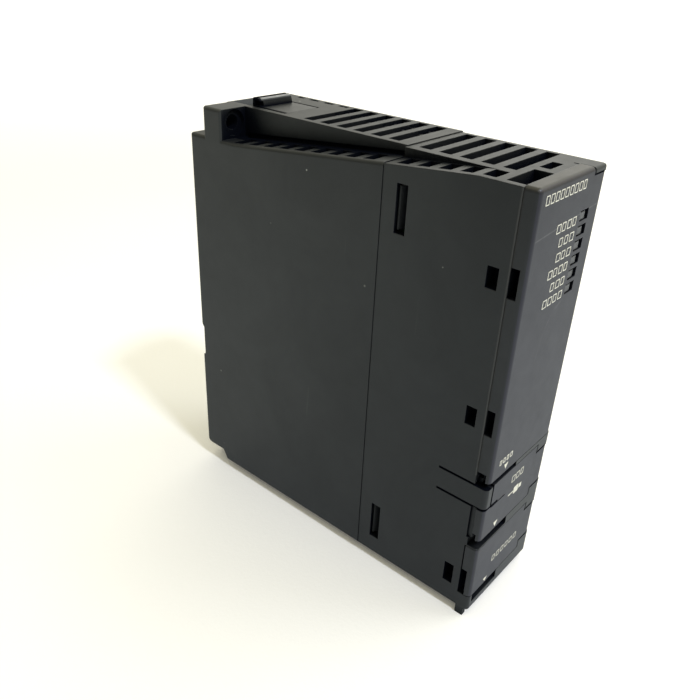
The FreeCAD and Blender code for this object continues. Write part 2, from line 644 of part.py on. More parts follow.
def main_board():
    through = (MAIN_FACE - 1, MAIN_FACE + 3)
    board = box(MAIN_FACE, MAIN_BACK, 3.2, 81.4, 4.95, 86.85)
    board = cut(board, board_holes(MAIN_SCREWS, *through),
                box(*through, 57.5, 82.0, 4.0, 15.6),
                box(*through, 47.5, 64.5, 83.2, 90.0))
    # raised corner that carries the topmost lamps
    return fuse(board, box(MAIN_FACE, MAIN_BACK, 66.0, 81.4, 86.0, 92.5))


def card_board():
    through = (CARD_FACE - 3, CARD_FACE + 1)
    board = box(CARD_BACK, CARD_FACE, 8.0, 80.0, 4.95, 86.85)
    return cut(board, board_holes(CARD_SCREWS, *through),
               box(*through, 47.5, 64.5, 83.2, 90.0),
               box(*through, 47.5, 81.0, 4.0, 15.6))


def port_board():
    return box(-8.6, 8.4, 76.4, 78.0, 4.4, 34.0)


def board_screws():
    arm, half_slot = 1.2, 0.22      # half length and half width of the cross recess
    screws = []
    # inward is the x direction from the board face into the case
    for face, inward, places in ((MAIN_FACE, -1, MAIN_SCREWS), (CARD_FACE, 1, CARD_SCREWS)):
        head = sorted((face, face + inward * 1.2))
        shank = sorted((face + inward * 0.1, face - inward * 3.0))
        recess = sorted((face + inward * 0.6, face + inward * 1.3))
        for depth, z in places:
            screw = fuse(rod_x(depth, z, 2.0, *head), rod_x(depth, z, 1.0, *shank))
            cross = [box(*recess, depth - half_depth, depth + half_depth, z - half_z, z + half_z)
                     for half_depth, half_z in ((arm, half_slot), (half_slot, arm))]
            screws.append(cut(screw, cross))
    return screws


# ---------------------------------------------------------------- connectors
def rack_connector():
    body = fuse(box(-3.4, 4.4, 0.6, 12.5, 54.0, 86.0),
                box(4.0, MAIN_FACE, 8.0, 12.5, 54.0, 86.0))
    body = cut(body, box(-2.4, 3.4, -1, 6.6, 55.2, 84.8))
    tongue = box(0.0, 1.0, 1.2, 7.0, 56.2, 83.8)
    return fuse(body, tongue)


def rack_connector_contacts():
    """Twenty contacts on each side of the tongue."""
    contacts = []
    for i in range(20):
        z = 57.2 + i * 1.35
        for x in (-0.35, 1.0):
            contacts.append(box(x, x + 0.35, 1.5, 6.6, z - 0.25, z + 0.25))
    return contacts


def stacking_connector():
    """Joins the two boards."""
    body = fuse(box(CARD_FACE, -0.5, 22.0, 46.0, 24.0, 30.0),
                box(-0.5, MAIN_FACE, 21.4, 46.6, 23.2, 30.8))
    return cut(body, box(-3.0, 5.0, 23.0, 45.0, 23.0, 24.6),
               box(-3.0, 5.0, 23.0, 45.0, 29.4, 31.0))


# ---------------------------------------------------------- board components
def processor():
    package = rounded_box(MAIN_FACE - 2.2, MAIN_FACE, 36.0, 60.0, 44.0, 68.0, 0.8, "x")
    corner_mark = rod_x(38.4, 46.4, 0.8, MAIN_FACE - 3, MAIN_FACE - 2.0)
    return cut(package, corner_mark)


def memory_chips():
    # depth, z of each lower rear corner
    corners = ((17.0, 36.0), (17.0, 47.5), (17.0, 59.0), (17.0, 70.5), (64.5, 40.0), (64.5, 51.5))
    return [box(MAIN_FACE - 1.1, MAIN_FACE, depth, depth + 12.0, z, z + 8.0)
            for depth, z in corners]


def interface_chips():
    # depth0, depth1, z0, z1
    outlines = ((18.0, 32.0, 36.0, 50.0), (18.0, 30.0, 58.0, 64.0),
                (18.0, 26.0, 70.0, 76.0), (62.0, 72.0, 22.0, 32.0))
    return [box(CARD_FACE, CARD_FACE + 1.2, *outline) for outline in outlines]


def capacitors():
    centres = ((66.0, 22.0), (66.0, 29.5), (73.0, 75.0), (38.0, 76.0))    # depth, z
    return [rod_x(depth, z, 3.1, MAIN_FACE - 7.0, MAIN_FACE) for depth, z in centres]


def oscillator():
    return rounded_box(MAIN_FACE - 1.7, MAIN_FACE, 46.0, 57.0, 72.5, 77.0, 1.2, "x")


# --------------------------------------------------------------------- lamps
def lamp_light_guide():
    carrier = box(3.6, 8.85, 82.9, 84.4, 71.4, 92.3)
    pipes = [box(LENS_X0, LENS_X1, 81.2, 89.05, top - 2.0, top - 0.5) for top in LAMP_TOPS]
    return fuse(carrier, pipes)


def lamp_leds():
    return [box(5.6, MAIN_FACE, 79.2, 80.8, top - 1.95, top - 0.55) for top in LAMP_TOPS]


# -------------------------------------------------- memory card socket, eject
def card_socket():
    right = -4.6
    bottom, top = 43.6, 89.6
    low_rail = cut(box(CARD_FACE, right, 40.0, 84.3, bottom, 46.4),
                   box(CARD_X0, CARD_X1, 46.0, 90.0, CARD_Z0, 60.0))
    high_rail = cut(box(CARD_FACE, right, 40.0, 84.3, 87.0, top),
                    box(CARD_X0, CARD_X1, 46.0, 90.0, 60.0, CARD_Z1))
    head = box(CARD_FACE, right, 38.0, 46.0, bottom, top)
    socket = fuse(low_rail, high_rail, head)
    return cut(socket, box(CARD_X0 + 0.4, CARD_X1 - 0.4, 43.0, 47.0, 46.2, 87.2),
               box(CARD_FACE - 1, CARD_X0, 46.5, 90.0, 46.4, 87.0))


def card_socket_pins():
    return [rod_y(x, 47.2 + i * 1.65, 0.25, 43.0, 48.5) for i in range(24) for x in (-7.9, -6.6)]


def eject_button():
    button = rounded_box(EJECT_X0, EJECT_X1, 80.0, 87.3, EJECT_Z0, EJECT_Z1, 0.5, "y")
    return fuse(button, box(-8.0, -6.4, 66.0, 80.2, 40.0, 41.8))


# --------------------------------------------------------------- mode switch
def mode_switch_body():
    rear = 79.8
    body = box(SWITCH_X - 3.0, SWITCH_X + 3.0, rear, 84.55, SWITCH_Z - 4.6, SWITCH_Z + 4.6)
    body = cut(body,
               box(SWITCH_X - 1.35, SWITCH_X + 1.35, 80.9, 86.0, SWITCH_Z - 3.3, SWITCH_Z + 3.3),
               rod_x(SWITCH_DEPTH, SWITCH_Z, SWITCH_PIN_RADIUS + PIN_CLEARANCE,
                     SWITCH_X - 2.4, SWITCH_X + 2.4))
    # foot reaching to the main board
    return fuse(body, box(SWITCH_X + 2.9, MAIN_FACE, rear, 81.2, SWITCH_Z - 3.0, SWITCH_Z + 3.0))


def mode_switch_lever():
    # depth, height above the pivot
    half_outline = [(SWITCH_DEPTH, 1.1), (87.1, 0.8), (87.35, 0.5)]
    outline = [(depth, SWITCH_Z - rise) for depth, rise in half_outline]
    outline += [(depth, SWITCH_Z + rise) for depth, rise in reversed(half_outline)]
    return fuse(rod_x(SWITCH_DEPTH, SWITCH_Z, 1.25, SWITCH_X - 1.2, SWITCH_X + 1.2),
                rod_x(SWITCH_DEPTH, SWITCH_Z, SWITCH_PIN_RADIUS, SWITCH_X - 2.2, SWITCH_X + 2.2),
                side_prism(outline, SWITCH_X - 1.0, SWITCH_X + 1.0))


# ------------------------------------------------------------------- sockets
SERIAL_SHIELD_RADIUS = 4.95
SERIAL_PIN_RADIUS = 0.42
# x, height above the socket's centre
SERIAL_PINS = ((-2.1, 0.6), (2.1, 0.6), (-1.3, 2.3), (1.3, 2.3), (-1.0, -1.6), (1.0, -1.6))


def usb_socket_shell():
    sheet = 0.35
    outer = rounded_box(-USB_HALF, USB_HALF, 78.0, 87.3, USB_BOTTOM, USB_TOP, 0.6, "y")
    return cut(outer, rounded_box(-USB_HALF + sheet, USB_HALF - sheet, 79.0, 90.0,
                                  USB_BOTTOM + sheet, USB_TOP - sheet, 0.4, "y"))


def usb_socket_insert():
    return fuse(box(-3.3, 3.3, 79.0, 80.6, 24.6, 27.5), box(-1.9, 1.9, 80.0, 86.4, 25.7, 26.5))


def serial_socket_body():
    base = rounded_box(-6.3, 6.3, 78.0, 84.5, SERIAL_Z - 6.2, SERIAL_Z + 6.2, 0.6, "y")
    body = fuse(base, rod_y(0, SERIAL_Z, SERIAL_RADIUS, 84.0, 87.2))
    # ring-shaped groove round the core
    body = cut(body, cut(rod_y(0, SERIAL_Z, SERIAL_SHIELD_RADIUS, 80.5, 90.0),
                         rod_y(0, SERIAL_Z, 3.4, 80.0, 91.0)))
    # pin holes and keyway
    body = cut(body, [rod_y(x, SERIAL_Z + z, SERIAL_PIN_RADIUS, 80.5, 90.0)
                      for x, z in SERIAL_PINS],
               box(-0.8, 0.8, 80.5, 90.0, SERIAL_Z - 3.6, SERIAL_Z - 2.7))
    # set the core back
    return cut(body, box(-3.6, 3.6, 86.6, 90, SERIAL_Z - 3.6, SERIAL_Z + 3.6))


def serial_socket_shield():
    return cut(rod_y(0, SERIAL_Z, SERIAL_SHIELD_RADIUS, 80.5, 87.0),
               rod_y(0, SERIAL_Z, 4.65, 80.0, 91.0))


def serial_socket_contacts():
    return [cut(rod_y(x, SERIAL_Z + z, SERIAL_PIN_RADIUS, 80.5, 86.2),
                rod_y(x, SERIAL_Z + z, 0.25, 82.0, 90.0)) for x, z in SERIAL_PINS]


# ------------------------------------------------------------------- battery
def battery_holder():
    bore = BATTERY_RADIUS + 0.1
    start, end = 18.1, 51.9
    block = box(-9.15, 8.85, 16.9, 53.4, 3.0, 21.0)
    return cut(block, rod_y(BATTERY_X, BATTERY_Z, bore, start, end),
               box(BATTERY_X - bore, BATTERY_X + bore, start, end, -1, BATTERY_Z),
               # two openings in the top, one slot in the front wall
               box(-6.0, 6.0, 22.0, 34.0, 18.0, 22.0),
               box(-6.0, 6.0, 37.0, 48.5, 18.0, 22.0),
               box(-2.0, 2.5, 51.0, 54.0, 2.0, 24.0))


def backup_battery():
    cell = rod_y(BATTERY_X, BATTERY_Z, BATTERY_RADIUS, BATTERY_START, BATTERY_END - 0.5)
    # edges 0 and 2 are the end circles, edge 1 is the seam
    cell = cell.makeFillet(0.5, [cell.Edges[0], cell.Edges[2]])
    return fuse(cell, rod_y(BATTERY_X, BATTERY_Z, 2.6, BATTERY_END - 0.6, BATTERY_END))


def battery_leads():
    leads = []
    for side in (-1, 1):
        offset = side * 0.9
        plug_depth = 58.3 + side * 0.75
        path = [
            point(BATTERY_X + offset, BATTERY_END + 0.06, BATTERY_Z + 0.8),
            point(BATTERY_X + offset, 55.0, BATTERY_Z + 1.5),
            point(0.6 + offset, 56.8, 20.0),
            point(2.0 + offset * 0.6, 57.7 + side * 0.5, 28.0),
            point(5.2, plug_depth, PLUG_Z - 5.0),
            point(5.4, plug_depth, PLUG_Z - 2.25),
        ]
        curve = Part.BSplineCurve()
        curve.interpolate(path)
        direction = curve.tangent(curve.FirstParameter)[0]
        section = Part.Wire([Part.Circle(path[0], direction, 0.5).toShape()])
        leads.append(Part.Wire([curve.toShape()]).makePipeShell([section], True, True))
    return leads


def battery_plug():
    return box(3.8, 7.0, *PLUG_SPAN, PLUG_Z - 1.9, PLUG_Z + 2.6)


def battery_header():
    return cut(box(5.2, MAIN_FACE, 55.4, 61.4, PLUG_Z - 1.6, PLUG_Z + 4.0),
               box(3.0, 7.0, *PLUG_SPAN, PLUG_Z - 3.0, PLUG_Z + 2.6))


# ------------------------------------------------------------- rating label
def rating_label():
    gap = 0.4
    depth0, depth1, z0, z1 = LABEL_RECESS
    return box(LABEL_FLOOR_X, REAR_HALF - 0.04, depth0 + gap, depth1 - gap, z0 + gap, z1 - gap)


# --------------------------------------------------------------------- write
# Each file is named after the function that builds its piece.
for build in (
    rear_case, front_case, front_door, usb_cover, serial_cover, module_hook, battery_cover,
    main_board, card_board, port_board, board_screws,
    rack_connector, rack_connector_contacts, stacking_connector,
    processor, memory_chips, interface_chips, capacitors, oscillator,
    lamp_light_guide, lamp_leds, card_socket, card_socket_pins, eject_button,
    mode_switch_body, mode_switch_lever, usb_socket_shell, usb_socket_insert,
    serial_socket_body, serial_socket_shield, serial_socket_contacts,
    battery_holder, backup_battery, battery_leads, battery_plug, battery_header,
    rating_label,
):
    save(build.__name__, build())
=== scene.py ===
"""Looks and stage for a narrow rack module of moulded black plastic.

It has a front door over two small covers, circuit boards behind them and a hook on top.
Row frame, in metres: x runs across the module (+x is right, seen from the front), the front
faces -y, z is up, and the origin is half way up the module. Heights of details are given in
millimetres above the underside and turned into z by level().
"""
import math
import random
from functools import cached_property

import bmesh
import bpy
from mathutils import Matrix, Vector


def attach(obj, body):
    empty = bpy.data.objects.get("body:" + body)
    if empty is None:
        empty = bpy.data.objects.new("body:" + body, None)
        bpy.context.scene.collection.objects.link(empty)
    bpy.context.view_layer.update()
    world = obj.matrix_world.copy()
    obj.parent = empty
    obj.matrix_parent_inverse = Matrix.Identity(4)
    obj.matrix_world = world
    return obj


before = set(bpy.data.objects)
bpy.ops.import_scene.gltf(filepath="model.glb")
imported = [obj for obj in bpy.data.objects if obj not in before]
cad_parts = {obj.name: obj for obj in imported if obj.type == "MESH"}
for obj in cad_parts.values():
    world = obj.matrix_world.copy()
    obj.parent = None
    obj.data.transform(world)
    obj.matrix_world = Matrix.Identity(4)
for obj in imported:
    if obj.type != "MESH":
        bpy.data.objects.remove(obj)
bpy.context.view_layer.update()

random.seed(11)

MM = 0.001
HALF = 0.049             # half the module's height
FRONT_Y = -0.0893        # front face of the door and covers
BEZEL_Y = -0.08615       # printed face behind the door
RIGHT_X = 0.01366        # face of the side sticker
FEET = 0.00202           # the small feet reach this far below the underside


def level(height_mm):
    """z in metres of a height in mm above the underside."""
    return height_mm * MM - HALF


def scaled(colour, factor):
    return tuple(v * factor for v in colour)


# =====================================================================
# node helpers
# =====================================================================
class Graph:
    """Short calls that make and link the nodes of one node tree."""

    def __init__(self, tree):
        self.tree = tree
        tree.nodes.clear()

    def new(self, kind, **props):
        node = self.tree.nodes.new(kind)
        for key, value in props.items():
            setattr(node, key, value)
        return node

    def link(self, source, target):
        self.tree.links.new(source, target)

    def put(self, socket, value):
        """Link a socket or set a plain value."""
        if isinstance(value, bpy.types.NodeSocket):
            self.link(value, socket)
        else:
            socket.default_value = value

    @cached_property
    def coords(self):
        return self.new("ShaderNodeTexCoord").outputs

    def math(self, operation, *values):
        node = self.new("ShaderNodeMath", operation=operation)
        for socket, value in zip(node.inputs, values):
            self.put(socket, value)
        return node.outputs[0]

    def add(self, a, b):
        return self.math("ADD", a, b)

    def sub(self, a, b):
        return self.math("SUBTRACT", a, b)

    def mul(self, first, *others):
        for other in others:
            first = self.math("MULTIPLY", first, other)
        return first

    def most(self, first, *others):
        for other in others:
            first = self.math("MAXIMUM", first, other)
        return first

    def dot(self, a, b):
        node = self.new("ShaderNodeVectorMath", operation="DOT_PRODUCT")
        self.put(node.inputs[0], a)
        self.put(node.inputs[1], b)
        return node.outputs["Value"]


class Material(Graph):
    """A material with one Principled shader. Masks run from 0 to 1."""

    def __init__(self, name):
        self.data = bpy.data.materials.new(name)
        self.data.use_nodes = True
        super().__init__(self.data.node_tree)
        out = self.new("ShaderNodeOutputMaterial")
        self.bsdf = self.new("ShaderNodeBsdfPrincipled")
        self.link(self.bsdf.outputs[0], out.inputs[0])

    def set(self, name, value):
        if isinstance(value, tuple):
            value = value + (1.0,) * (4 - len(value))
        self.put(self.bsdf.inputs[name], value)

    # ---- sources
    @cached_property
    def normal(self):
        return self.new("ShaderNodeNewGeometry").outputs["Normal"]

    def xyz(self, vector=None):
        node = self.new("ShaderNodeSeparateXYZ")
        self.link(vector or self.coords["Object"], node.inputs[0])
        return node.outputs

    def noise(self, scale, detail=2.0, rough=0.5, coord=None, distort=0.0):
        node = self.new("ShaderNodeTexNoise")
        node.inputs["Scale"].default_value = scale
        node.inputs["Detail"].default_value = detail
        node.inputs["Roughness"].default_value = rough
        node.inputs["Distortion"].default_value = distort
        self.link(coord or self.coords["Object"], node.inputs["Vector"])
        return node.outputs[0]

    def voronoi(self, scale, coord=None):
        node = self.new("ShaderNodeTexVoronoi")
        node.inputs["Scale"].default_value = scale
        self.link(coord or self.coords["Object"], node.inputs["Vector"])
        return node.outputs

    def channel(self, colour, index):
        node = self.new("ShaderNodeSeparateColor")
        self.link(colour, node.inputs[0])
        return node.outputs[index]

    def mapped(self, scale, rotation=(0, 0, 0)):
        """Object coordinates, turned and stretched."""
        node = self.new("ShaderNodeMapping")
        node.inputs["Rotation"].default_value = rotation
        node.inputs["Scale"].default_value = scale
        self.link(self.coords["Object"], node.inputs[0])
        return node.outputs[0]

    def bevel(self, radius):
        node = self.new("ShaderNodeBevel", samples=4)
        node.inputs["Radius"].default_value = radius
        return node.outputs[0]

    def openness(self, distance, shut, clear, own, samples):
        """1 on open faces, 0 deep inside slots and recesses."""
        node = self.new("ShaderNodeAmbientOcclusion", samples=samples, only_local=own)
        node.inputs["Distance"].default_value = distance
        return self.fade(node.outputs["AO"], shut, clear)

    # ---- arithmetic
    def math(self, operation, *values):
        """Inputs that aren't given are zero."""
        return super().math(operation, *(values + (0.0, 0.0))[:3])

    def size(self, value):
        return self.math("ABSOLUTE", value)

    def above(self, value, limit):
        return self.math("GREATER_THAN", value, limit)

    def below(self, value, limit):
        return self.math("LESS_THAN", value, limit)

    def between(self, value, low, high):
        return self.mul(self.above(value, low), self.below(value, high))

    def radius(self, a, b):
        return self.math("SQRT", self.add(self.mul(a, a), self.mul(b, b)))

    def ramp(self, value, start, end, to=(0.0, 1.0), smooth=False):
        """Map start..end onto the range `to`, clamped."""
        node = self.new("ShaderNodeMapRange")
        node.clamp = True
        if smooth:
            node.interpolation_type = "SMOOTHSTEP"
        for socket, number in zip(node.inputs, (value, start, end, *to)):
            self.put(socket, number)
        return node.outputs[0]

    def fade(self, value, start, end, to=(0.0, 1.0)):
        return self.ramp(value, start, end, to, smooth=True)

    def stripe(self, offset, outer, inner):
        """Soft line: full within `inner` of offset zero, gone beyond `outer`."""
        return self.fade(self.size(offset), outer, inner)

    def dim(self, mask, amount):
        """Level that drops from 1 by `amount` under the mask."""
        return self.sub(1.0, self.mul(mask, amount))

    def only_in(self, mask, value):
        """The value inside the mask, 1 outside."""
        return self.add(self.mul(mask, value), self.sub(1.0, mask))

    def faces_up(self):
        return self.above(self.xyz(self.normal)[2], 0.7)

    def turn(self, rounded):
        """How far the rounded normal leaves the face: grows toward edges."""
        return self.sub(1.0, self.dot(rounded, self.normal))

    # ---- results
    def mix(self, factor, a, b):
        node = self.new("ShaderNodeMix", data_type="RGBA")
        self.put(node.inputs[0], factor)
        for socket, value in ((node.inputs[6], a), (node.inputs[7], b)):
            if isinstance(value, tuple):
                value = value + (1.0,)
            self.put(socket, value)
        return node.outputs[2]

    def relief(self, height, distance, strength, rounded=None):
        """Bump the surface, over rounded edges where given."""
        node = self.new("ShaderNodeBump")
        node.inputs["Strength"].default_value = strength
        node.inputs["Distance"].default_value = distance
        self.link(height, node.inputs["Height"])
        if rounded is not None:
            self.link(rounded, node.inputs["Normal"])
        self.link(node.outputs[0], self.bsdf.inputs["Normal"])


# =====================================================================
# moulded plastic
# =====================================================================
def specks(mat, scale, outer, inner, channel, rarity):
    """Round dust specks in the cells whose random channel exceeds the rarity."""
    cells = mat.voronoi(scale)
    spot = mat.fade(cells["Distance"], outer, inner)
    return mat.mul(spot, mat.above(mat.channel(cells["Color"], channel), rarity))


def add_drift(mat, colour, tint):
    """Slow colour drift and fine mottling."""
    drift = mat.ramp(mat.noise(34, detail=3.0, rough=0.55, distort=0.6), 0.3, 0.72)
    mottle = mat.ramp(mat.noise(900, detail=3.0, rough=0.6), 0.25, 0.75)
    drifted = mat.mix(drift, scaled(colour, 1.0 - tint), scaled(colour, 1.0 + tint * 1.1))
    return mat.mix(mat.mul(mottle, 0.35), drifted, scaled(colour, 1.22))


def add_dust(mat, colour, dust):
    """Sparse specks, thicker on faces that look up."""
    fine = specks(mat, 430, outer=0.085, inner=0.03, channel=0, rarity=0.93)
    coarse = specks(mat, 150, outer=0.055, inner=0.02, channel=1, rarity=0.84)
    spots = mat.most(mat.mul(fine, 0.45), coarse)
    settle = mat.ramp(mat.xyz(mat.normal)[2], -0.2, 0.9, to=(0.55, 1.25))
    return mat.mix(mat.mul(spots, 0.75 * dust, settle), colour, (0.30, 0.31, 0.28))


def add_hairlines(mat, colour, dust):
    """Long hair scratches, in patches."""
    stretched = mat.mapped(scale=(40, 900, 55), rotation=(0.4, 0.7, 0.3))
    hair = mat.mul(mat.fade(mat.noise(1.0, coord=stretched), 0.70, 0.76),
                   mat.ramp(mat.noise(60), 0.5, 0.7))
    return mat.mix(mat.mul(hair, 0.16 * dust), colour, (0.12, 0.12, 0.115))


def shade_recesses(mat, colour, lift, tone, painted_highlight, highlight_colour):
    """Painted shade: darken slots and recesses toward a navy colour, with painted highlights
    where asked; returns the colour and how open each place is.
    """
    light = mat.mul(mat.openness(0.011, shut=0.35, clear=0.87, own=True, samples=6),
                    mat.openness(0.006, shut=0.20, clear=0.68, own=False, samples=4))
    if lift is not None:
        light = mat.most(light, lift(mat))
    light = mat.most(light, 0.07)       # darkest level
    if tone is not None:
        light = mat.mul(light, tone(mat))
    # painted highlight: the masked places are kept lit and painted lighter
    if painted_highlight is not None:
        highlight_mask = painted_highlight(mat)
        light = mat.most(light, highlight_mask)
        colour = mat.mix(mat.mul(highlight_mask, 0.5), colour, highlight_colour)
    # painted shade: slots and recesses darken toward this navy colour
    return mat.mix(light, (0.0026, 0.0034, 0.0066), colour), light


def moulded(name, base, rough, grain=0.30, dust=1.0, wear=1.0, bevel=0.00022, tint=0.10,
            spec=0.5, sheen=(1.0, 1.0, 1.0), front_light_tint=None, marks=None,
            shell=False, lift=None, tone=None, painted_highlight=None, highlight_colour=None):
    """Spark-textured plastic: fine grain, handling marks, dust and rubbed edges.

    marks adds extra colour marks. A shell also gets painted shade in its recesses: there lift
    keeps places lit, tone scales the light and painted_highlight marks places painted bright in
    highlight_colour.
    """
    mat = Material(name)
    rounded = mat.bevel(bevel)
    texture = mat.add(mat.mul(mat.noise(7200, rough=0.65), 0.7), mat.mul(mat.noise(2600), 0.45))
    mat.relief(texture, distance=0.00003, strength=grain, rounded=rounded)
    # edges rubbed slightly lighter and smoother
    edge = mat.mul(mat.fade(mat.turn(rounded), 0.01, 0.22),
                   mat.ramp(mat.noise(420, detail=3.0, rough=0.6), 0.38, 0.66, to=(0.25, 1.0)))
    # handling haze: wide, faint, slightly warm
    haze = mat.fade(mat.noise(75, detail=4.0, rough=0.62, distort=1.4), 0.56, 0.78)
    haze_colour = tuple(v * gain + offset for v, gain, offset
                        in zip(base, (1.9, 1.85, 1.65), (0.004, 0.004, 0.003)))
    colour = add_drift(mat, base, tint)
    colour = mat.mix(mat.mul(haze, 0.22 * dust), colour, haze_colour)
    colour = add_dust(mat, colour, dust)
    colour = add_hairlines(mat, colour, dust)
    edge_colour = tuple(min(1.0, v * 2.7 + 0.012) for v in base)
    colour = mat.mix(mat.mul(edge, 0.30 * wear), colour, edge_colour)
    if marks is not None:
        colour = marks(mat, colour)
    if shell:
        colour, light = shade_recesses(mat, colour, lift, tone, painted_highlight, highlight_colour)
        blotch = mat.ramp(mat.noise(48, detail=4.0, rough=0.6, distort=0.8), 0.30, 0.70,
                          to=(0.91 * spec, 1.09 * spec))
        mat.set("Specular IOR Level", mat.mul(light, blotch))
        # no grazing sheen inside the dark places either
        full = mat.math("MINIMUM", mat.mul(light, 1.6), 1.0)
        mat.set("IOR", mat.add(1.0, mat.mul(full, 0.5)))
    else:
        mat.set("Specular IOR Level", spec)
    mat.set("Base Color", colour)
    # painted light: faces that look to the front get a bluish reflection tint, standing in for
    # the bluish front light
    if front_light_tint is not None:
        faces_front = mat.below(mat.xyz(mat.normal)[1], -0.6)
        sheen = mat.mix(faces_front, sheen, front_light_tint)
    mat.set("Specular Tint", sheen)
    roughness = mat.add(rough - 0.05, mat.mul(mat.noise(300, detail=3.0, rough=0.6), 0.10))
    roughness = mat.sub(roughness, mat.mul(edge, 0.10 * wear))
    mat.set("Roughness", mat.add(roughness, mat.mul(haze, 0.05)))
    return mat.data


# ---------------------------------------------------------------- marks on the plastic
# start (x, z), end (x, z), half width, soft border, strength
SCUFFS = (
    ((-0.0131, level(88.5)), (0.0131, level(90.45)), 0.00005, 0.00016, 0.62),
    ((0.0052, level(72.7)), (0.0009, level(71.0)), 0.00012, 0.0004, 0.30),
    ((0.0012, level(71.1)), (-0.0014, level(67.6)), 0.00005, 0.00022, 0.32),
    ((-0.0015, level(67.8)), (-0.0030, level(61.0)), 0.00005, 0.0004, 0.16),
)
SCUFF_TAPER = 0.0015     # length over which a scuff's ends fade

# y, z, radius, strength
FLANK_SPECKS = ((-0.03737, 0.04127, 0.00024, 0.9), (-0.0725, 0.03034, 0.00018, 0.55))


def line_mask(mat, x, z, start, end, width, border):
    """Soft line in the x-z plane."""
    run, rise = end[0] - start[0], end[1] - start[1]
    length = math.hypot(run, rise)
    run, rise = run / length, rise / length
    from_x = mat.sub(x, start[0])
    from_z = mat.sub(z, start[1])
    along = mat.add(mat.mul(from_x, run), mat.mul(from_z, rise))
    across = mat.sub(mat.mul(from_z, run), mat.mul(from_x, rise))
    body = mat.stripe(across, width + border, width)
    ends = mat.mul(mat.fade(along, 0.0, SCUFF_TAPER),
                   mat.fade(along, length, length - SCUFF_TAPER))
    return mat.mul(body, ends)


def door_scuffs(mat, colour):
    """Hairlines across the door: one slanted line at the first sign row, rubs lower down."""
    x, y, z = mat.xyz()
    broken = mat.ramp(mat.noise(900, rough=0.6), 0.28, 0.55, to=(0.35, 1.0))
    front = mat.below(y, -0.0886)
    lines = mat.most(*[mat.mul(line_mask(mat, x, z, *line), strength)
                       for *line, strength in SCUFFS])
    lines = mat.mul(lines, broken, front)
    return mat.mix(mat.mul(lines, 0.55), colour, (0.17, 0.172, 0.168))


def side_specks(mat, colour):
    """Two grains of dust that stick to the left flank."""
    x, y, z = mat.xyz()
    left = mat.below(x, -0.0132)
    for speck_y, speck_z, radius, strength in FLANK_SPECKS:
        distance = mat.radius(mat.sub(y, speck_y), mat.sub(z, speck_z))
        grain = mat.mul(mat.fade(distance, radius, radius * 0.5, to=(0.0, strength)), left)
        colour = mat.mix(grain, colour, (0.36, 0.37, 0.35))
    return colour


# ---------------------------------------------------------------- light levels on the case
POST_Y = -0.01085        # front face of the fixing post
SLIT = (0.00034, 0.00022)    # soft and full half widths of a narrow slit


def flank_level(mat, x, y, z):
    """Painted shade: flanks darker toward the front and the foot, and painted lighter again
    high up.
    """
    flank = mat.above(mat.size(x), 0.0128)
    painted_falloff = mat.mul(mat.ramp(y, -0.092, -0.018, to=(0.74, 1.0)),
                     mat.ramp(z, level(2.0), level(55.0), to=(0.93, 1.0)))
    rise = mat.mul(mat.ramp(z, level(52.0), level(88.0), to=(0.0, 0.13)),
                   mat.ramp(y, -0.080, -0.058))
    return mat.only_in(flank, mat.mul(painted_falloff, mat.add(1.0, rise)))


def corner_shadow(mat, x, y, z, up):
    """Painted shadow in the corner in front of the fixing post."""
    corner = mat.mul(mat.fade(y, -0.0185, -0.0118),
                     mat.below(y, POST_Y),
                     mat.below(mat.size(mat.add(x, 0.0088)), 0.0046),
                     mat.fade(z, level(99.5), level(95.5), to=(0.35, 1.0)),
                     mat.ramp(z, level(84.0), level(87.0)))
    return mat.mul(corner, mat.dim(up, mat.ramp(x, -0.0092, -0.0100, to=(0.0, 0.75))))


def grip_slits(mat, x, y, z):
    """Painted shade in the narrow slits on both sides of the hook's grip."""
    slits = mat.most(*[mat.stripe(mat.sub(x, centre), *SLIT) for centre in (-0.0045, 0.0063)])
    return mat.mul(slits, mat.mul(mat.above(y, -0.0222), mat.above(z, level(95.9))))


def ledge_shadow(mat, x, y, z, up):
    """Shadow under the band wall, over the inner ends of the floor's bars."""
    inner = mat.mul(mat.fade(x, -0.0104, -0.0088), mat.below(x, -0.0060))
    return mat.mul(inner, mat.between(z, level(90.8), level(96.3)),
                   mat.mul(up, mat.ramp(y, -0.0575, -0.050, to=(0.25, 1.0))))


def side_tone(mat):
    x, y, z = mat.xyz()
    tone = flank_level(mat, x, y, z)
    up = mat.faces_up()
    dark = mat.most(corner_shadow(mat, x, y, z, up),
                    mat.mul(grip_slits(mat, x, y, z), 1.25),
                    mat.mul(ledge_shadow(mat, x, y, z, up), 1.15))
    # painted shade: the top darker toward the front, the post's top kept bright
    high = mat.mul(up, mat.above(z, level(96.4)))
    post = mat.mul(mat.below(x, -0.0045), mat.above(y, POST_Y))
    top_shade = mat.sub(mat.ramp(y, -0.087, -0.055, to=(0.10, 0.0)), mat.mul(post, 0.28))
    return mat.mul(tone, mat.dim(high, top_shade), mat.dim(dark, 0.72))


def ledge_lift(mat):
    """The bars of the sloping floor beside the band stay in the light."""
    x, y, z = mat.xyz()
    bars = mat.mul(mat.above(z, level(90.8)), mat.below(x, -0.0094))
    return mat.mul(mat.faces_up(), bars, 0.92)


# ---------------------------------------------------------------- light levels on the front
HINGE_JOINTS = (96.55, 33.15, 22.95, 16.35, 6.45)    # heights in mm, from the door's top down


def flank_tone(mat):
    """Painted shade: cover sides a little darker than their fronts."""
    side = mat.above(mat.size(mat.xyz(mat.normal)[0]), 0.8)
    return mat.dim(side, 0.25)


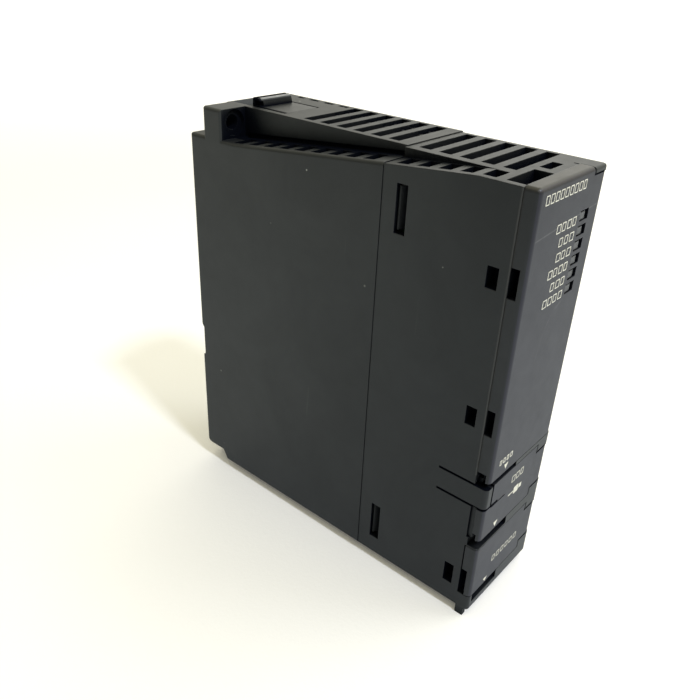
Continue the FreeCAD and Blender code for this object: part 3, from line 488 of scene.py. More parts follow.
def notch_tone(mat):
    """Unlit inside of the latch notch at the lower cover."""
    x, y, z = mat.xyz()
    opening = mat.mul(mat.between(z, level(2.9), level(11.6)),
                      mat.between(x, -0.01345, -0.0050))
    bottom = mat.mul(mat.below(mat.xyz(mat.normal)[1], -0.5), mat.above(y, -0.0870))
    return mat.dim(mat.mul(opening, bottom), 0.8)


def seam_highlight(mat):
    """Painted highlight: a light line along the case edge beside the door."""
    x, y, z = mat.xyz()
    edge = mat.mul(mat.fade(y, -0.08570, -0.08612), mat.above(mat.size(x), 0.01325))
    strength = 1.0
    return mat.mul(edge, mat.mul(mat.above(z, level(37.5)), strength))


def door_edge_highlight(mat):
    """Painted highlight: patchy warm light along the door's top edge, and painted light on its
    skirt.
    """
    x, y, z = mat.xyz()
    patchy = mat.ramp(mat.noise(380, detail=3.0, rough=0.6), 0.25, 0.6, to=(0.33, 0.70))
    top = mat.mul(mat.fade(z, level(97.2), level(97.75)), mat.below(y, -0.0864), patchy)
    skirt = mat.mul(mat.above(y, -0.0864), mat.above(mat.size(x), 0.0131))
    return mat.mul(mat.most(top, mat.mul(skirt, 0.45)), mat.below(x, 0.0079))


def hinge_shadow(mat, x, y, z):
    """Joints at the hinge end, finer at the door's top, and the upright joint there."""
    joints = []
    for height in HINGE_JOINTS:
        widths = (0.00036, 0.00022) if height < 90.0 else (0.00026, 0.00014)
        joints.append(mat.stripe(mat.sub(z, level(height)), *widths))
    right = mat.mul(mat.ramp(x, 0.0082, 0.0088), mat.below(y, -0.0862))
    upright = mat.mul(mat.stripe(mat.sub(x, 0.00819), *SLIT),
                      mat.above(z, level(96.4)), mat.below(y, -0.0848))
    return mat.most(mat.mul(mat.most(*joints), right), upright)


def joint_tone(mat):
    """Deep shadow in the joints of the door, the covers and the snap finger."""
    x, y, z = mat.xyz()
    dark = hinge_shadow(mat, x, y, z)
    # slits above and below the snap finger: height in mm and where each ends
    for height, end_x in ((35.13, -0.0120), (29.57, -0.0082)):
        slit = mat.stripe(mat.sub(z, level(height)), 0.00034, 0.00024)
        dark = mat.most(dark, mat.mul(slit, mat.below(y, -0.0773), mat.below(x, end_x)))
    # joint where the finger's turned-over end meets the upper cover
    end_joint = mat.mul(mat.stripe(mat.add(x, 0.01112), *SLIT), mat.below(y, -0.0885),
                        mat.between(z, level(29.6), level(35.3)))
    return mat.dim(mat.most(dark, end_joint), 0.92)


def front_tone(mat):
    return mat.mul(side_tone(mat), joint_tone(mat), notch_tone(mat))


def cover_tone(mat):
    return mat.mul(flank_tone(mat), joint_tone(mat))


# ---------------------------------------------------------------- light levels on the hook
CREST_LEVEL = level(99.15)
GROOVE_FRONT_Y = -0.01262


def grip_tone(mat):
    """Painted shade on the grip rib: a dark groove behind the crest, a shaded foot and a darker
    left end.
    """
    x, y, z = mat.xyz()
    rib = mat.mul(mat.below(y, -0.0115), mat.above(y, -0.01425))
    groove = mat.mul(mat.below(y, -0.01195), mat.above(y, GROOVE_FRONT_Y))
    foot = mat.mul(mat.fade(z, level(98.05), level(98.9), to=(0.35, 0.80)),
                   mat.below(z, CREST_LEVEL))
    crest = mat.mul(mat.above(z, CREST_LEVEL),
                    mat.ramp(y, GROOVE_FRONT_Y, -0.01295, to=(0.30, 1.0)),
                    mat.ramp(y, -0.01365, -0.01340, to=(0.45, 1.0)))
    tone = mat.mul(mat.most(foot, crest), mat.dim(groove, 0.9))
    left = mat.mul(mat.below(x, -0.0036), mat.above(z, level(97.9)))
    return mat.mul(mat.only_in(rib, tone), mat.dim(left, 0.75))


def grip_crest_highlight(mat):
    """Painted highlight: bright line along the crest of the grip rib."""
    x, y, z = mat.xyz()
    line = mat.mul(mat.below(y, -0.01290), mat.above(y, -0.01340), mat.above(z, level(99.1)))
    patchy = mat.ramp(mat.noise(300), 0.3, 0.6, to=(0.5, 1.0))
    return mat.mul(line, mat.mul(mat.above(x, -0.0034), patchy))


# =====================================================================
# other materials
# =====================================================================
def board():
    """Green solder mask with tracks and plated holes."""
    mat = Material("board_solder_mask")
    x, y, z = mat.xyz()
    flat = mat.new("ShaderNodeCombineXYZ")
    mat.link(y, flat.inputs[0])
    mat.link(z, flat.inputs[1])
    flat = flat.outputs[0]

    def lines(position):
        """Narrow lines, 1600 to the metre."""
        phase = mat.math("FRACT", mat.mul(position, 1600.0))
        return mat.below(mat.size(mat.sub(phase, 0.5)), 0.2)

    # blocks switch the two directions of tracks on and off
    block = mat.channel(mat.voronoi(170, coord=flat)["Color"], 0)
    track = mat.most(mat.mul(lines(y), mat.above(block, 0.45)),
                     mat.mul(lines(z), mat.below(block, 0.35)))
    hole_distance = mat.voronoi(420, coord=flat)["Distance"]
    hole = mat.below(hole_distance, 0.11)
    ring = mat.below(hole_distance, 0.2)
    colour = mat.mix(mat.ramp(mat.noise(60, detail=3.0), 0.3, 0.7),
                     (0.004, 0.026, 0.011), (0.006, 0.036, 0.016))
    colour = mat.mix(mat.mul(track, 0.75), colour, (0.012, 0.065, 0.026))
    colour = mat.mix(ring, colour, (0.55, 0.42, 0.20))
    colour = mat.mix(hole, colour, (0.01, 0.01, 0.01))
    mat.set("Base Color", colour)
    mat.set("Roughness", mat.ramp(mat.noise(900), 0.3, 0.7, to=(0.28, 0.38)))
    mat.set("Coat Weight", 0.25)
    mat.relief(mat.add(mat.mul(track, 0.6), mat.mul(mat.noise(3000), 0.25)),
               distance=0.00004, strength=0.5)
    return mat.data


def metal(name, colour, rough, brushed=(60, 2600, 2600)):
    """Brushed, slightly tarnished metal; brushed scales the noise along each axis."""
    mat = Material(name)
    strokes = mat.noise(1.0, detail=3.0, rough=0.6, coord=mat.mapped(brushed))
    tarnish = mat.ramp(mat.noise(280, detail=3.0, rough=0.6), 0.35, 0.75)
    mat.set("Base Color", mat.mix(tarnish, colour, scaled(colour, 0.72)))
    mat.set("Metallic", 1.0)
    uneven = mat.mul(mat.add(strokes, mat.mul(tarnish, 0.6)), 0.14)
    mat.set("Roughness", mat.add(rough, uneven))
    mat.relief(strokes, distance=0.00001, strength=0.35, rounded=mat.bevel(0.00008))
    return mat.data


def chip():
    mat = Material("chip_epoxy")
    mat.set("Base Color", mat.mix(mat.noise(2400, detail=3.0, rough=0.7),
                                  (0.010, 0.010, 0.011), (0.021, 0.021, 0.023)))
    mat.set("Roughness", mat.ramp(mat.noise(1500), 0.3, 0.7, to=(0.45, 0.6)))
    mat.relief(mat.noise(9000), distance=0.00002, strength=0.3, rounded=mat.bevel(0.00012))
    return mat.data


def capacitor():
    """Aluminium cans with a dark sleeve on the +x part."""
    mat = Material("capacitor_can")
    x, y, z = mat.xyz()
    sleeve = mat.above(x, 0.0024)
    fine = mat.noise(1500)
    mat.set("Base Color", mat.mix(sleeve, (0.62, 0.62, 0.63), (0.012, 0.014, 0.03)))
    mat.set("Metallic", mat.sub(1.0, sleeve))
    mat.set("Roughness", mat.ramp(fine, 0.3, 0.7, to=(0.25, 0.36)))
    mat.relief(fine, distance=0.00002, strength=0.3, rounded=mat.bevel(0.00025))
    return mat.data


def guide():
    """Milky unlit light guide: grey with a slightly darker rim."""
    mat = Material("light_guide")
    rim = mat.turn(mat.bevel(0.0003))
    colour = mat.mix(mat.ramp(mat.noise(1800, detail=3.0), 0.3, 0.7),
                     (0.040, 0.041, 0.045), (0.052, 0.053, 0.057))
    mat.set("Base Color", mat.mix(mat.ramp(rim, 0.0, 0.2), colour, (0.03, 0.031, 0.034)))
    mat.set("Roughness", 0.34)
    mat.set("Subsurface Weight", 0.15)
    mat.bsdf.inputs["Subsurface Radius"].default_value = (0.001, 0.001, 0.001)
    mat.set("Subsurface Scale", 0.4)
    mat.relief(mat.noise(2500), distance=0.00002, strength=0.2, rounded=mat.bevel(0.00012))
    return mat.data


def battery():
    """Blue sleeve with a pale band and a metal cap toward the front."""
    mat = Material("battery_sleeve")
    x, y, z = mat.xyz()
    band = mat.below(y, -0.0475)
    cap = mat.below(y, -0.05105)
    colour = mat.mix(mat.ramp(mat.noise(160, detail=3.0, rough=0.6), 0.3, 0.7),
                     (0.10, 0.14, 0.30), (0.12, 0.17, 0.35))
    colour = mat.mix(band, colour, (0.62, 0.62, 0.64))
    mat.set("Base Color", mat.mix(cap, colour, (0.5, 0.5, 0.5)))
    metalness = 1.0
    mat.set("Metallic", mat.mul(cap, metalness))
    mat.set("Roughness", mat.ramp(mat.noise(700, detail=3.0), 0.3, 0.7, to=(0.25, 0.38)))
    mat.set("Coat Weight", 0.3)
    mat.relief(mat.noise(500, detail=3.0), distance=0.00004, strength=0.3,
               rounded=mat.bevel(0.0002))
    return mat.data


def wire_red():
    mat = Material("lead_insulation")
    fine = mat.noise(1200, detail=3.0)
    mat.set("Base Color", mat.mix(fine, (0.42, 0.012, 0.010), (0.50, 0.02, 0.016)))
    mat.set("Roughness", mat.ramp(fine, 0.3, 0.7, to=(0.32, 0.45)))
    mat.set("Specular IOR Level", 0.5)
    mat.relief(fine, distance=0.00003, strength=0.3)
    return mat.data


def label():
    """Pale sticker film with faint smears."""
    mat = Material("label_film")
    fibre = mat.noise(2600, detail=3.0, rough=0.6)
    smear = mat.fade(mat.noise(55, detail=4.0, rough=0.6, distort=1.2), 0.5, 0.75)
    colour = mat.mix(mat.ramp(fibre, 0.3, 0.7), (0.50, 0.50, 0.48), (0.56, 0.56, 0.54))
    mat.set("Base Color", mat.mix(mat.mul(smear, 0.25), colour, (0.38, 0.375, 0.35)))
    mat.set("Roughness", mat.ramp(mat.noise(400, detail=3.0), 0.3, 0.7, to=(0.30, 0.42)))
    mat.relief(fibre, distance=0.00001, strength=0.4)
    return mat.data


def ink(name, colour, worn):
    mat = Material(name)
    wear = mat.fade(mat.noise(2600, detail=3.0, rough=0.7), 0.30, 0.62, to=(1.0, 0.0))
    mat.set("Base Color", mat.mix(mat.mul(wear, worn), colour, scaled(colour, 0.45)))
    mat.set("Roughness", 0.5)
    mat.set("Specular IOR Level", 0.35)
    mat.relief(mat.noise(7000), distance=0.00002, strength=0.3)
    return mat.data


CASE = (0.0100, 0.0110, 0.0122)
COVER = (0.0112, 0.0118, 0.0142)
GREEN = (0.92, 0.97, 1.0)      # sheen of the case
# BLUE is a painted reflection tint for the covers' fronts, standing in for the bluish front
# light
BLUE = (0.80, 0.80, 1.0)       # sheen of the covers' fronts

MATERIALS = {
    "case": moulded("case_plastic", CASE, rough=0.47, spec=0.53, sheen=GREEN, shell=True,
                    marks=side_specks, tone=side_tone, lift=ledge_lift),
    "front": moulded("front_case_plastic", CASE, rough=0.46, spec=0.53, sheen=GREEN, shell=True,
                     marks=side_specks, tone=front_tone, lift=ledge_lift,
                     painted_highlight=seam_highlight, highlight_colour=(0.075, 0.075, 0.073)),
    "door": moulded("cover_plastic", COVER, rough=0.46, dust=0.8, spec=0.61, sheen=GREEN,
                    front_light_tint=BLUE, shell=True, marks=door_scuffs, tone=cover_tone,
                    painted_highlight=door_edge_highlight, highlight_colour=(0.056, 0.043, 0.023)),
    "flap": moulded("flap_plastic", COVER, rough=0.46, dust=0.8, spec=0.61, sheen=GREEN,
                    front_light_tint=BLUE, shell=True, tone=cover_tone),
    "hook": moulded("hook_plastic", CASE, rough=0.40, grain=0.22, dust=0.9, sheen=GREEN,
                    shell=True, tone=grip_tone, painted_highlight=grip_crest_highlight, highlight_colour=(0.58, 0.58, 0.59)),
    "inner": moulded("connector_plastic", (0.012, 0.012, 0.0125), rough=0.42, grain=0.12,
                     dust=0.25, wear=0.5, bevel=0.0001),
    "button": moulded("button_plastic", (0.36, 0.36, 0.33), rough=0.45, grain=0.15,
                      dust=0.1, wear=0.3, bevel=0.00015, tint=0.04),
    "switch": moulded("switch_plastic", (0.55, 0.55, 0.51), rough=0.4, grain=0.12,
                      dust=0.1, wear=0.3, bevel=0.00012, tint=0.03),
    "plug": moulded("plug_nylon", (0.62, 0.60, 0.53), rough=0.42, grain=0.1,
                    dust=0.1, wear=0.2, bevel=0.00012, tint=0.03),
    "board": board(),
    "steel": metal("zinc_steel", (0.60, 0.60, 0.58), rough=0.24),
    "can": metal("tinned_can", (0.66, 0.66, 0.65), rough=0.22),
    "gold": metal("contact_plating", (0.85, 0.62, 0.27), rough=0.20),
    "solder": metal("solder_tin", (0.68, 0.68, 0.69), rough=0.30, brushed=(900, 900, 900)),
    "chip": chip(),
    "cap": capacitor(),
    "guide": guide(),
    "battery": battery(),
    "wire": wire_red(),
    "label": label(),
    "ink_light": ink("ink_pale", (0.80, 0.78, 0.68), worn=0.3),
    "ink_dark": ink("ink_black", (0.02, 0.02, 0.02), worn=0.1),
    "led": moulded("led_case", (0.60, 0.60, 0.55), rough=0.35, grain=0.08,
                   dust=0.0, wear=0.2, bevel=0.0001, tint=0.02),
}

# part -> material; any other part is made of case plastic
PART_MATERIALS = {
    "rear_case": "case", "front_case": "front", "front_door": "door", "usb_cover": "flap",
    "serial_cover": "flap", "module_hook": "hook", "battery_cover": "case",
    "main_board": "board", "card_board": "board", "port_board": "board",
    "board_screws": "steel", "rack_connector": "inner", "rack_connector_contacts": "gold",
    "stacking_connector": "inner", "processor": "chip", "memory_chips": "chip",
    "interface_chips": "chip", "capacitors": "cap", "oscillator": "can",
    "lamp_light_guide": "guide", "lamp_leds": "led", "card_socket": "inner",
    "card_socket_pins": "gold", "eject_button": "button", "mode_switch_body": "inner",
    "mode_switch_lever": "switch", "usb_socket_shell": "can", "usb_socket_insert": "inner",
    "serial_socket_body": "inner", "serial_socket_shield": "can",
    "serial_socket_contacts": "gold", "battery_holder": "inner", "backup_battery": "battery",
    "battery_leads": "wire", "battery_plug": "plug", "battery_header": "plug",
    "rating_label": "label",
}
for node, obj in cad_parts.items():
    obj.data.materials.clear()
    obj.data.materials.append(MATERIALS[PART_MATERIALS.get(node, "case")])


# =====================================================================
# printed marks: thin plates, all sizes in mm
# =====================================================================
PRINT_FOOT = -0.004      # prints start just below the surface
PRINT_TOP = 0.014
LABEL_PRINT_TOP = 0.008


def mesh_object(name, mesh, material, body):
    """Turn a bmesh into an object that rides on a body."""
    bmesh.ops.recalc_face_normals(mesh, faces=mesh.faces[:])
    data = bpy.data.meshes.new(name)
    mesh.to_mesh(data)
    mesh.free()
    made = bpy.data.objects.new(name, data)
    bpy.context.scene.collection.objects.link(made)
    data.materials.append(MATERIALS[material])
    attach(made, body)


# Placers map (position along the face, height, lift off the face) to the row frame.
def on_front(across, height, lift):
    return Vector((across * MM, FRONT_Y - lift * MM, level(height)))


def on_bezel(across, height, lift):
    return Vector((across * MM, BEZEL_Y - lift * MM, level(height)))


def on_right(depth, height, lift):
    """Depth runs from the rear toward the front."""
    return Vector((RIGHT_X + lift * MM, -depth * MM, level(height)))


def join_rings(mesh, lower, upper):
    for i in range(len(lower)):
        j = (i + 1) % len(lower)
        mesh.faces.new((lower[i], lower[j], upper[j], upper[i]))


def prism(mesh, outline, place, top=PRINT_TOP):
    """Closed plate over an outline."""
    lower = [mesh.verts.new(place(a, b, PRINT_FOOT)) for a, b in outline]
    upper = [mesh.verts.new(place(a, b, top)) for a, b in outline]
    mesh.faces.new(lower[::-1])
    mesh.faces.new(upper)
    join_rings(mesh, lower, upper)


def rounded_box(left, right, bottom, top, radius, steps=3):
    radius = min(radius, (right - left) / 2.01, (top - bottom) / 2.01)
    corners = ((right - radius, top - radius), (left + radius, top - radius),
               (left + radius, bottom + radius), (right - radius, bottom + radius))
    points = []
    for quarter, (a, b) in enumerate(corners):
        for i in range(steps + 1):
            angle = math.radians(90.0 * quarter + 90.0 * i / steps)
            points.append((a + radius * math.cos(angle), b + radius * math.sin(angle)))
    return points


def hollow_sign(mesh, place, left, right, bottom, top, stroke):
    """Hollow box that stands for a printed sign."""
    outer = rounded_box(left, right, bottom, top, 0.10, steps=2)
    inner = rounded_box(left + stroke, right - stroke, bottom + stroke, top - stroke,
                        0.05, steps=2)
    rings = [[mesh.verts.new(place(a, b, lift)) for a, b in outline]
             for lift in (PRINT_FOOT, PRINT_TOP) for outline in (outer, inner)]
    outer_low, inner_low, outer_high, inner_high = rings
    for i in range(len(outer)):
        j = (i + 1) % len(outer)
        mesh.faces.new((outer_high[i], outer_high[j], inner_high[j], inner_high[i]))
        mesh.faces.new((outer_low[j], outer_low[i], inner_low[i], inner_low[j]))
        mesh.faces.new((outer_low[i], outer_low[j], outer_high[j], outer_high[i]))
        mesh.faces.new((inner_low[j], inner_low[i], inner_high[i], inner_high[j]))


def word(mesh, place, left, right, bottom, top, count, stroke=0.19, gap=0.5):
    """A row of hollow signs where a word is printed."""
    unit = ((right - left) - gap * (count - 1)) / count
    for _ in range(count):
        width = unit * print_random.choice((0.86, 1.0, 1.0))
        hollow_sign(mesh, place, left, left + width, bottom, top, stroke)
        left += unit + gap


def triangle(mesh, place, left, right, base, tip):
    prism(mesh, [(right, base), ((left + right) / 2.0, tip), (left, base)], place)


def door_marks():
    mesh = bmesh.new()
    word(mesh, on_front, -10.9, 5.2, 94.6, 96.4, count=9)
    first_top, row_pitch, row_height = 89.75, 2.97, 1.75
    right_end, sign_pitch = 3.7, 2.0
    for row, count in enumerate((4, 3, 3, 4, 3, 4)):
        top = first_top - row * row_pitch
        word(mesh, on_front, right_end - count * sign_pitch, right_end,
             top - row_height, top, count)
    word(mesh, on_front, -10.2, -4.9, 39.6, 40.9, count=4, stroke=0.22, gap=0.4)
    triangle(mesh, on_front, -7.95, -6.25, base=38.75, tip=37.35)
    mesh_object("door_marks", mesh, "ink_light", "door")


def usb_cover_marks():
    mesh = bmesh.new()
    word(mesh, on_front, -2.5, 2.8, 30.7, 32.5, count=3)
    # cable-plug sign: body, tip and cord as left, right, bottom, top, corner radius
    for box in ((-0.6, 1.5, 26.45, 28.35, 0.25), (1.75, 2.9, 26.8, 28.0, 0.12),
                (-3.0, -0.45, 27.25, 27.55, 0.1)):
        prism(mesh, rounded_box(*box), on_front)
    triangle(mesh, on_front, -8.0, -6.3, base=22.95, tip=21.45)
    mesh_object("usb_cover_marks", mesh, "ink_light", "usb_flap")


def serial_cover_marks():
    mesh = bmesh.new()
    word(mesh, on_front, -5.3, 6.0, 9.6, 11.2, count=6)
    triangle(mesh, on_front, -7.9, -6.25, base=5.85, tip=4.75)
    mesh_object("serial_cover_marks", mesh, "ink_light", "serial_flap")


def bezel_marks():
    mesh = bmesh.new()
    # left, right, bottom, count
    for left, right, bottom, count in ((4.2, 8.2, 64.2, 4), (4.2, 8.2, 61.5, 4),
                                       (4.2, 8.8, 58.8, 5), (-4.6, 0.4, 40.4, 5)):
        word(mesh, on_bezel, left, right, bottom, bottom + 1.1, count, stroke=0.18, gap=0.25)
    triangle(mesh, on_bezel, -3.9, -2.9, base=46.2, tip=47.2)
    mesh_object("bezel_marks", mesh, "ink_light", "case")


def rating_label_print():
    """Heading, text lines, bar code and square dot code on the side sticker."""
    mesh = bmesh.new()
    margin, column = 14.2, 28.0      # where the two text columns start

    def bar(start, width, bottom, height, radius=0.05):
        prism(mesh, rounded_box(start, start + width, bottom, bottom + height, radius),
              on_right, LABEL_PRINT_TOP)

    bar(margin, 33.6, 70.8, 5.0, radius=0.4)
    for i in range(7):
        bottom = 67.0 - i * 3.1
        bar(margin, print_random.uniform(8, 12), bottom, 1.0)
        bar(column, print_random.uniform(9, 19), bottom, 1.0)
    for i in range(4):
        bar(margin, print_random.uniform(26, 33), 42.6 - i * 2.2, 0.7)
    depth, code_end = 14.4, 38.0
    while depth < code_end:
        width = print_random.choice((0.22, 0.22, 0.45, 0.67))
        bar(depth, width, 28.2, 4.2, radius=0.01)
        depth += width + print_random.choice((0.25, 0.45, 0.7))
    dot, dot_pitch = 0.56, 0.62
    for i in range(8):
        for j in range(8):
            if print_random.random() < 0.55 or i == 0 or j == 0:
                bar(41.0 + i * dot_pitch, dot, 28.0 + j * dot_pitch, dot, radius=0.01)
    mesh_object("rating_label_print", mesh, "ink_dark", "case")


print_random = random.Random(5)
door_marks()
usb_cover_marks()
serial_cover_marks()
bezel_marks()
rating_label_print()


# =====================================================================
# board details: leads, small parts, chip marks; sizes in mm
# =====================================================================
# x of the board's face and the side its parts stand on (1: toward -x, -1: toward +x)
MAIN_BOARD = (9.0, 1)
LEFT_BOARD = (-9.3, -1)

# depth range from the rear and height range of each package
PROCESSOR = ((36.0, 60.0), (44.0, 68.0))
PROCESSOR_TOP = 2.2
CHIP_PITCH = 11.5
CHIP_HEIGHT = 8.0
MEMORY_DEPTH = (17.0, 29.0)
MEMORY_BASES = [36.0 + CHIP_PITCH * i for i in range(4)]
INTERFACE_DEPTH = (64.5, 76.5)
INTERFACE_BASES = [40.0 + CHIP_PITCH * i for i in range(2)]
CHIP_TOP = 1.1
LEFT_PACKAGES = (((18.0, 32.0), (36.0, 50.0)), ((18.0, 30.0), (58.0, 64.0)),
                 ((18.0, 26.0), (70.0, 76.0)), ((62.0, 72.0), (22.0, 32.0)))
LEAD_PITCH = 0.95


def lead_row(mesh, board_side, along, edge, outward, upright, count, width, body_top):
    """Gull-wing leads along one edge; upright rows run in height, others in depth."""
    board_x, side = board_side
    shoulder = body_top * 0.55
    # distance out from the package, lift off the board
    profile = [(0.0, shoulder), (0.35, shoulder), (0.55, 0.08), (1.05, 0.08),
               (1.05, 0.0), (0.45, 0.0), (0.28, shoulder - 0.13), (0.0, shoulder - 0.13)]
    start, end = along
    for i in range(count):
        centre = start + (end - start) * (i + 0.5) / count
        rings = []
        for position in (centre - width / 2.0, centre + width / 2.0):
            ring = []
            for out, lift in profile:
                depth, height = position, edge + outward * out
                if upright:
                    depth, height = height, depth
                ring.append(mesh.verts.new(
                    ((board_x - side * lift) * MM, -depth * MM, level(height))))
            rings.append(ring)
        near, far = rings
        mesh.faces.new(near)
        mesh.faces.new(far[::-1])
        for j in range(len(profile)):
            k = (j + 1) % len(profile)
            mesh.faces.new((near[j], far[j], far[k], near[k]))


def package_leads(mesh, board_side, depths, heights, inset, four_sides=False, **lead):
    """Leads on the top and bottom edges, and on the upright edges where asked."""
    edges = [(depths, heights, False)]
    if four_sides:
        edges.append((heights, depths, True))
    for along, (first, last), upright in edges:
        inner = (along[0] + inset, along[1] - inset)
        lead_row(mesh, board_side, inner, last, 1, upright, **lead)
        lead_row(mesh, board_side, inner, first, -1, upright, **lead)


def chip_leads():
    mesh = bmesh.new()
    package_leads(mesh, MAIN_BOARD, *PROCESSOR, inset=0.8, four_sides=True,
                  count=28, width=0.32, body_top=PROCESSOR_TOP)
    for depths, bases in ((MEMORY_DEPTH, MEMORY_BASES), (INTERFACE_DEPTH, INTERFACE_BASES)):
        for base in bases:
            package_leads(mesh, MAIN_BOARD, depths, (base, base + CHIP_HEIGHT), inset=0.3,
                          count=12, width=0.36, body_top=CHIP_TOP)
    for depths, heights in LEFT_PACKAGES:
        package_leads(mesh, LEFT_BOARD, depths, heights, inset=0.3,
                      count=int((depths[1] - depths[0]) / LEAD_PITCH), width=0.34, body_top=1.2)
    mesh_object("chip_leads", mesh, "solder", "case")


# areas of the main board without small parts: depth from, to, height from, to
KEEP_CLEAR = [
    (34, 62, 42, 70), (15, 31, 34, 81), (62.5, 78.5, 38, 62), (6, 13, 52, 88),
    (44, 59, 70.5, 79), (60, 80, 17, 34), (69, 77, 70, 80), (34, 42, 71, 81),
    (20, 48, 21, 33), (50, 57, 22, 30), (54, 63, 32, 41), (14, 18.5, 79, 86),
    (5, 11, 8, 16), (76, 82, 68, 93),
]


def small_part(mesh, depth, height, thickness):
    """Small box with a chamfered top, standing on the main board."""
    half_length, half_width, chamfer = 0.8, 0.4, 0.12

    def ring(lift, inset):
        a, b = half_length - inset, half_width - inset
        return [mesh.verts.new(((MAIN_BOARD[0] - lift) * MM, -(depth + i * a) * MM,
                                level(height + j * b)))
                for i, j in ((-1, -1), (1, -1), (1, 1), (-1, 1))]

    foot = ring(0.0, 0.0)
    shoulder = ring(thickness * 0.8, 0.0)
    top = ring(thickness, chamfer)
    mesh.faces.new(foot)
    mesh.faces.new(top[::-1])
    for i in range(4):
        j = (i + 1) % 4
        mesh.faces.new((foot[i], foot[j], shoulder[j], shoulder[i]))
        mesh.faces.new((shoulder[i], shoulder[j], top[j], top[i]))


def small_parts():
    """Resistors and thicker ceramic parts, scattered on a grid where there is room."""
    resistors, ceramics = bmesh.new(), bmesh.new()
    scatter = random.Random(21)
    taken = list(KEEP_CLEAR)
    depth_grid, height_grid = 2.2, 1.9
    for _ in range(420):
        depth, height = scatter.uniform(14, 79.5), scatter.uniform(22.5, 85)
        depth = round(depth / depth_grid) * depth_grid
        height = round(height / height_grid) * height_grid
        if any(a < depth < b and c < height < d for a, b, c, d in taken):
            continue
        taken.append((depth - 1.3, depth + 1.3, height - 0.9, height + 0.9))
        if scatter.random() < 0.6:
            small_part(resistors, depth, height, thickness=0.5)
        else:
            small_part(ceramics, depth, height, thickness=0.8)
    mesh_object("small_resistors", resistors, "chip", "case")
    MATERIALS["ceramic"] = moulded("ceramic_body", (0.30, 0.20, 0.12), rough=0.4, grain=0.05,
                                   dust=0.0, wear=0.0, bevel=0.0001, tint=0.06)
    mesh_object("small_ceramics", ceramics, "ceramic", "case")


def chip_marks():
    """Blank words on the memory chips and the processor."""
    def on_chip(chip_top):
        return lambda depth, height, lift: Vector(
            ((MAIN_BOARD[0] - chip_top - lift) * MM, -depth * MM, level(height)))

    mesh = bmesh.new()
    for base in MEMORY_BASES:
        word(mesh, on_chip(CHIP_TOP), 18.5, 27.0, base + 4.4, base + 5.6, count=6,
             stroke=0.18, gap=0.3)
    word(mesh, on_chip(PROCESSOR_TOP), 41.0, 55.0, 57.0, 59.0, count=7, stroke=0.3)
    word(mesh, on_chip(PROCESSOR_TOP), 41.0, 52.0, 53.2, 54.8, count=6, stroke=0.25)
    mesh_object("chip_marks", mesh, "ink_light", "case")


chip_leads()
small_parts()
chip_marks()


# =====================================================================
# floor, light, camera
# =====================================================================
def floor_paper():
    """Off-white paper; the camera sees it brighter than it lights the module."""
    mat = Material("floor_paper")
    fine = mat.noise(900, detail=4.0, rough=0.6)
    wide = mat.noise(6, detail=3.0)
    colour = mat.mix(mat.ramp(wide, 0.3, 0.7), (0.95, 0.937, 0.915), (0.975, 0.962, 0.945))
    colour = mat.mix(mat.mul(mat.ramp(fine, 0.3, 0.7), 0.12), colour, (0.80, 0.79, 0.77))
    seen = mat.new("ShaderNodeLightPath").outputs["Is Camera Ray"]
    mat.set("Base Color", mat.mix(seen, (0.755, 0.785, 0.83), colour))
    mat.set("Emission Color", (1.0, 0.995, 1.04))
    # painted light: a glow, seen only by the camera, that grows away from the module
    x, y, z = mat.xyz()
    glow = mat.add(0.078, mat.fade(mat.radius(x, y), 0.22, 0.75, to=(0.0, 0.36)))
    mat.set("Emission Strength", mat.mul(seen, glow))
    mat.set("Roughness", 0.62)
    mat.set("Specular IOR Level", 0.25)
    mat.relief(fine, distance=0.0002, strength=0.25)
    return mat.data


def add_floor():
    bpy.ops.mesh.primitive_plane_add(size=8.0, location=(0, 0, -HALF - FEET))
    floor = bpy.context.object
    floor.name = "floor"
    floor.data.materials.append(floor_paper())


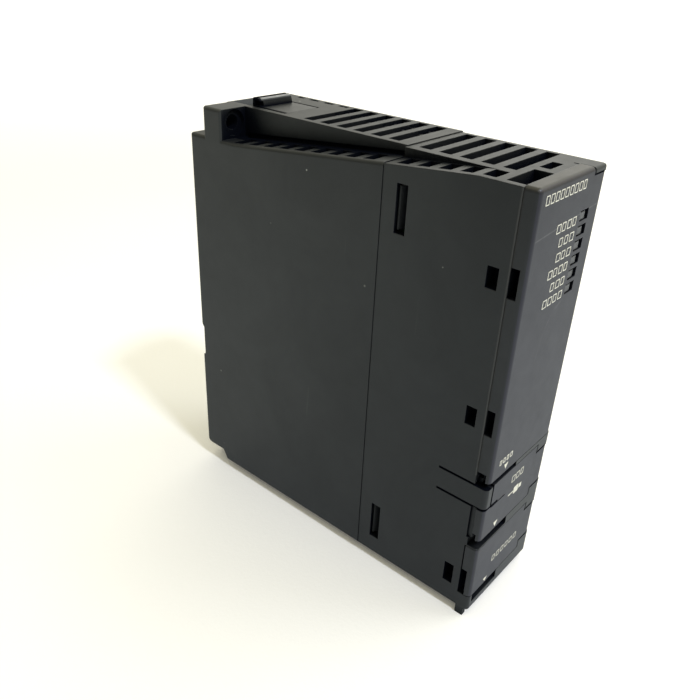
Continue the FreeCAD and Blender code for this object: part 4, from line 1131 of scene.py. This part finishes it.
def light_world(world):
    """Bright ceiling, far wall and front light; the camera sees plain near-white."""
    world.use_nodes = True
    graph = Graph(world.node_tree)
    out = graph.new("ShaderNodeOutputWorld")
    backdrop = graph.new("ShaderNodeBackground")
    backdrop.inputs[0].default_value = (1.0, 0.995, 0.985, 1)
    backdrop.inputs[1].default_value = 1.05
    room = graph.new("ShaderNodeBackground")
    room.inputs[1].default_value = 1.0
    path = graph.new("ShaderNodeLightPath")
    choice = graph.new("ShaderNodeMixShader")
    graph.link(path.outputs["Is Camera Ray"], choice.inputs[0])
    graph.link(room.outputs[0], choice.inputs[1])
    graph.link(backdrop.outputs[0], choice.inputs[2])
    graph.link(choice.outputs[0], out.inputs[0])

    def lobe(direction, focus, strength):
        """Light from around a direction; a higher focus is narrower."""
        toward = graph.dot(graph.coords["Generated"], Vector(direction).normalized())
        return graph.mul(graph.math("POWER", graph.most(toward, 0.0), focus), strength)

    def tinted(light, hue):
        node = graph.new("ShaderNodeVectorMath", operation="SCALE")
        node.inputs[0].default_value = hue
        graph.link(light, node.inputs["Scale"])
        return node.outputs[0]

    ceiling = lobe((0, 0, 1), focus=1.2, strength=0.84)
    far_wall = graph.add(lobe((0.94, 0.28, 0.22), focus=7.0, strength=1.62),
                         lobe((0.55, 0.80, 0.28), focus=2.0, strength=0.17))
    front = lobe((0.35, -0.93, 0.25), focus=2.0, strength=0.57)
    ambient = 0.08
    warm = graph.add(graph.add(ceiling, front), ambient)
    both = graph.new("ShaderNodeVectorMath", operation="ADD")
    graph.link(tinted(warm, hue=(1.0, 0.955, 0.68)), both.inputs[0])
    graph.link(tinted(far_wall, hue=(1.0, 0.99, 0.945)), both.inputs[1])
    graph.link(both.outputs[0], room.inputs[0])


def area(name, location, target, size, power, colour):
    data = bpy.data.lights.new(name, "AREA")
    data.shape = "RECTANGLE"
    data.size, data.size_y = size
    data.energy = power
    data.color = colour
    lamp = bpy.data.objects.new(name, data)
    bpy.context.scene.collection.objects.link(lamp)
    lamp.location = location
    aim = Vector(target) - Vector(location)
    lamp.rotation_euler = aim.to_track_quat("-Z", "Y").to_euler()


def add_camera():
    data = bpy.data.cameras.new("camera")
    data.sensor_width = 36.0
    data.lens = 37.549543
    data.clip_start = 0.005
    data.clip_end = 30.0
    camera = bpy.data.objects.new("camera", data)
    scene.collection.objects.link(camera)
    right = Vector((0.64566214, -0.76220276, 0.04655495))
    down = Vector((-0.34519413, -0.34570835, -0.8725404))
    forward = Vector((0.68114713, 0.5472958, -0.48631871))
    turn = Matrix((right, -down, -forward)).transposed().to_4x4()
    place = Vector((-0.1233125, -0.139444, 0.1315332 - HALF))
    camera.matrix_world = Matrix.Translation(place) @ turn
    scene.camera = camera


scene = bpy.context.scene
add_floor()
scene.world = scene.world or bpy.data.worlds.new("world")
light_world(scene.world)
area("window", location=(0.42, -0.45, 0.66), target=(0.05, -0.12, -0.04),
     size=(0.42, 0.42), power=1.66, colour=(0.86, 0.925, 1.08))
area("lamp_front", location=(-0.10, -0.60, 0.84), target=(0, -0.045, 0.0),
     size=(0.11, 0.11), power=4.55, colour=(0.88, 0.94, 1.10))
scene.view_settings.view_transform = "Standard"
scene.view_settings.look = "None"
scene.view_settings.exposure = 0.0
scene.view_settings.gamma = 1.0
add_camera()

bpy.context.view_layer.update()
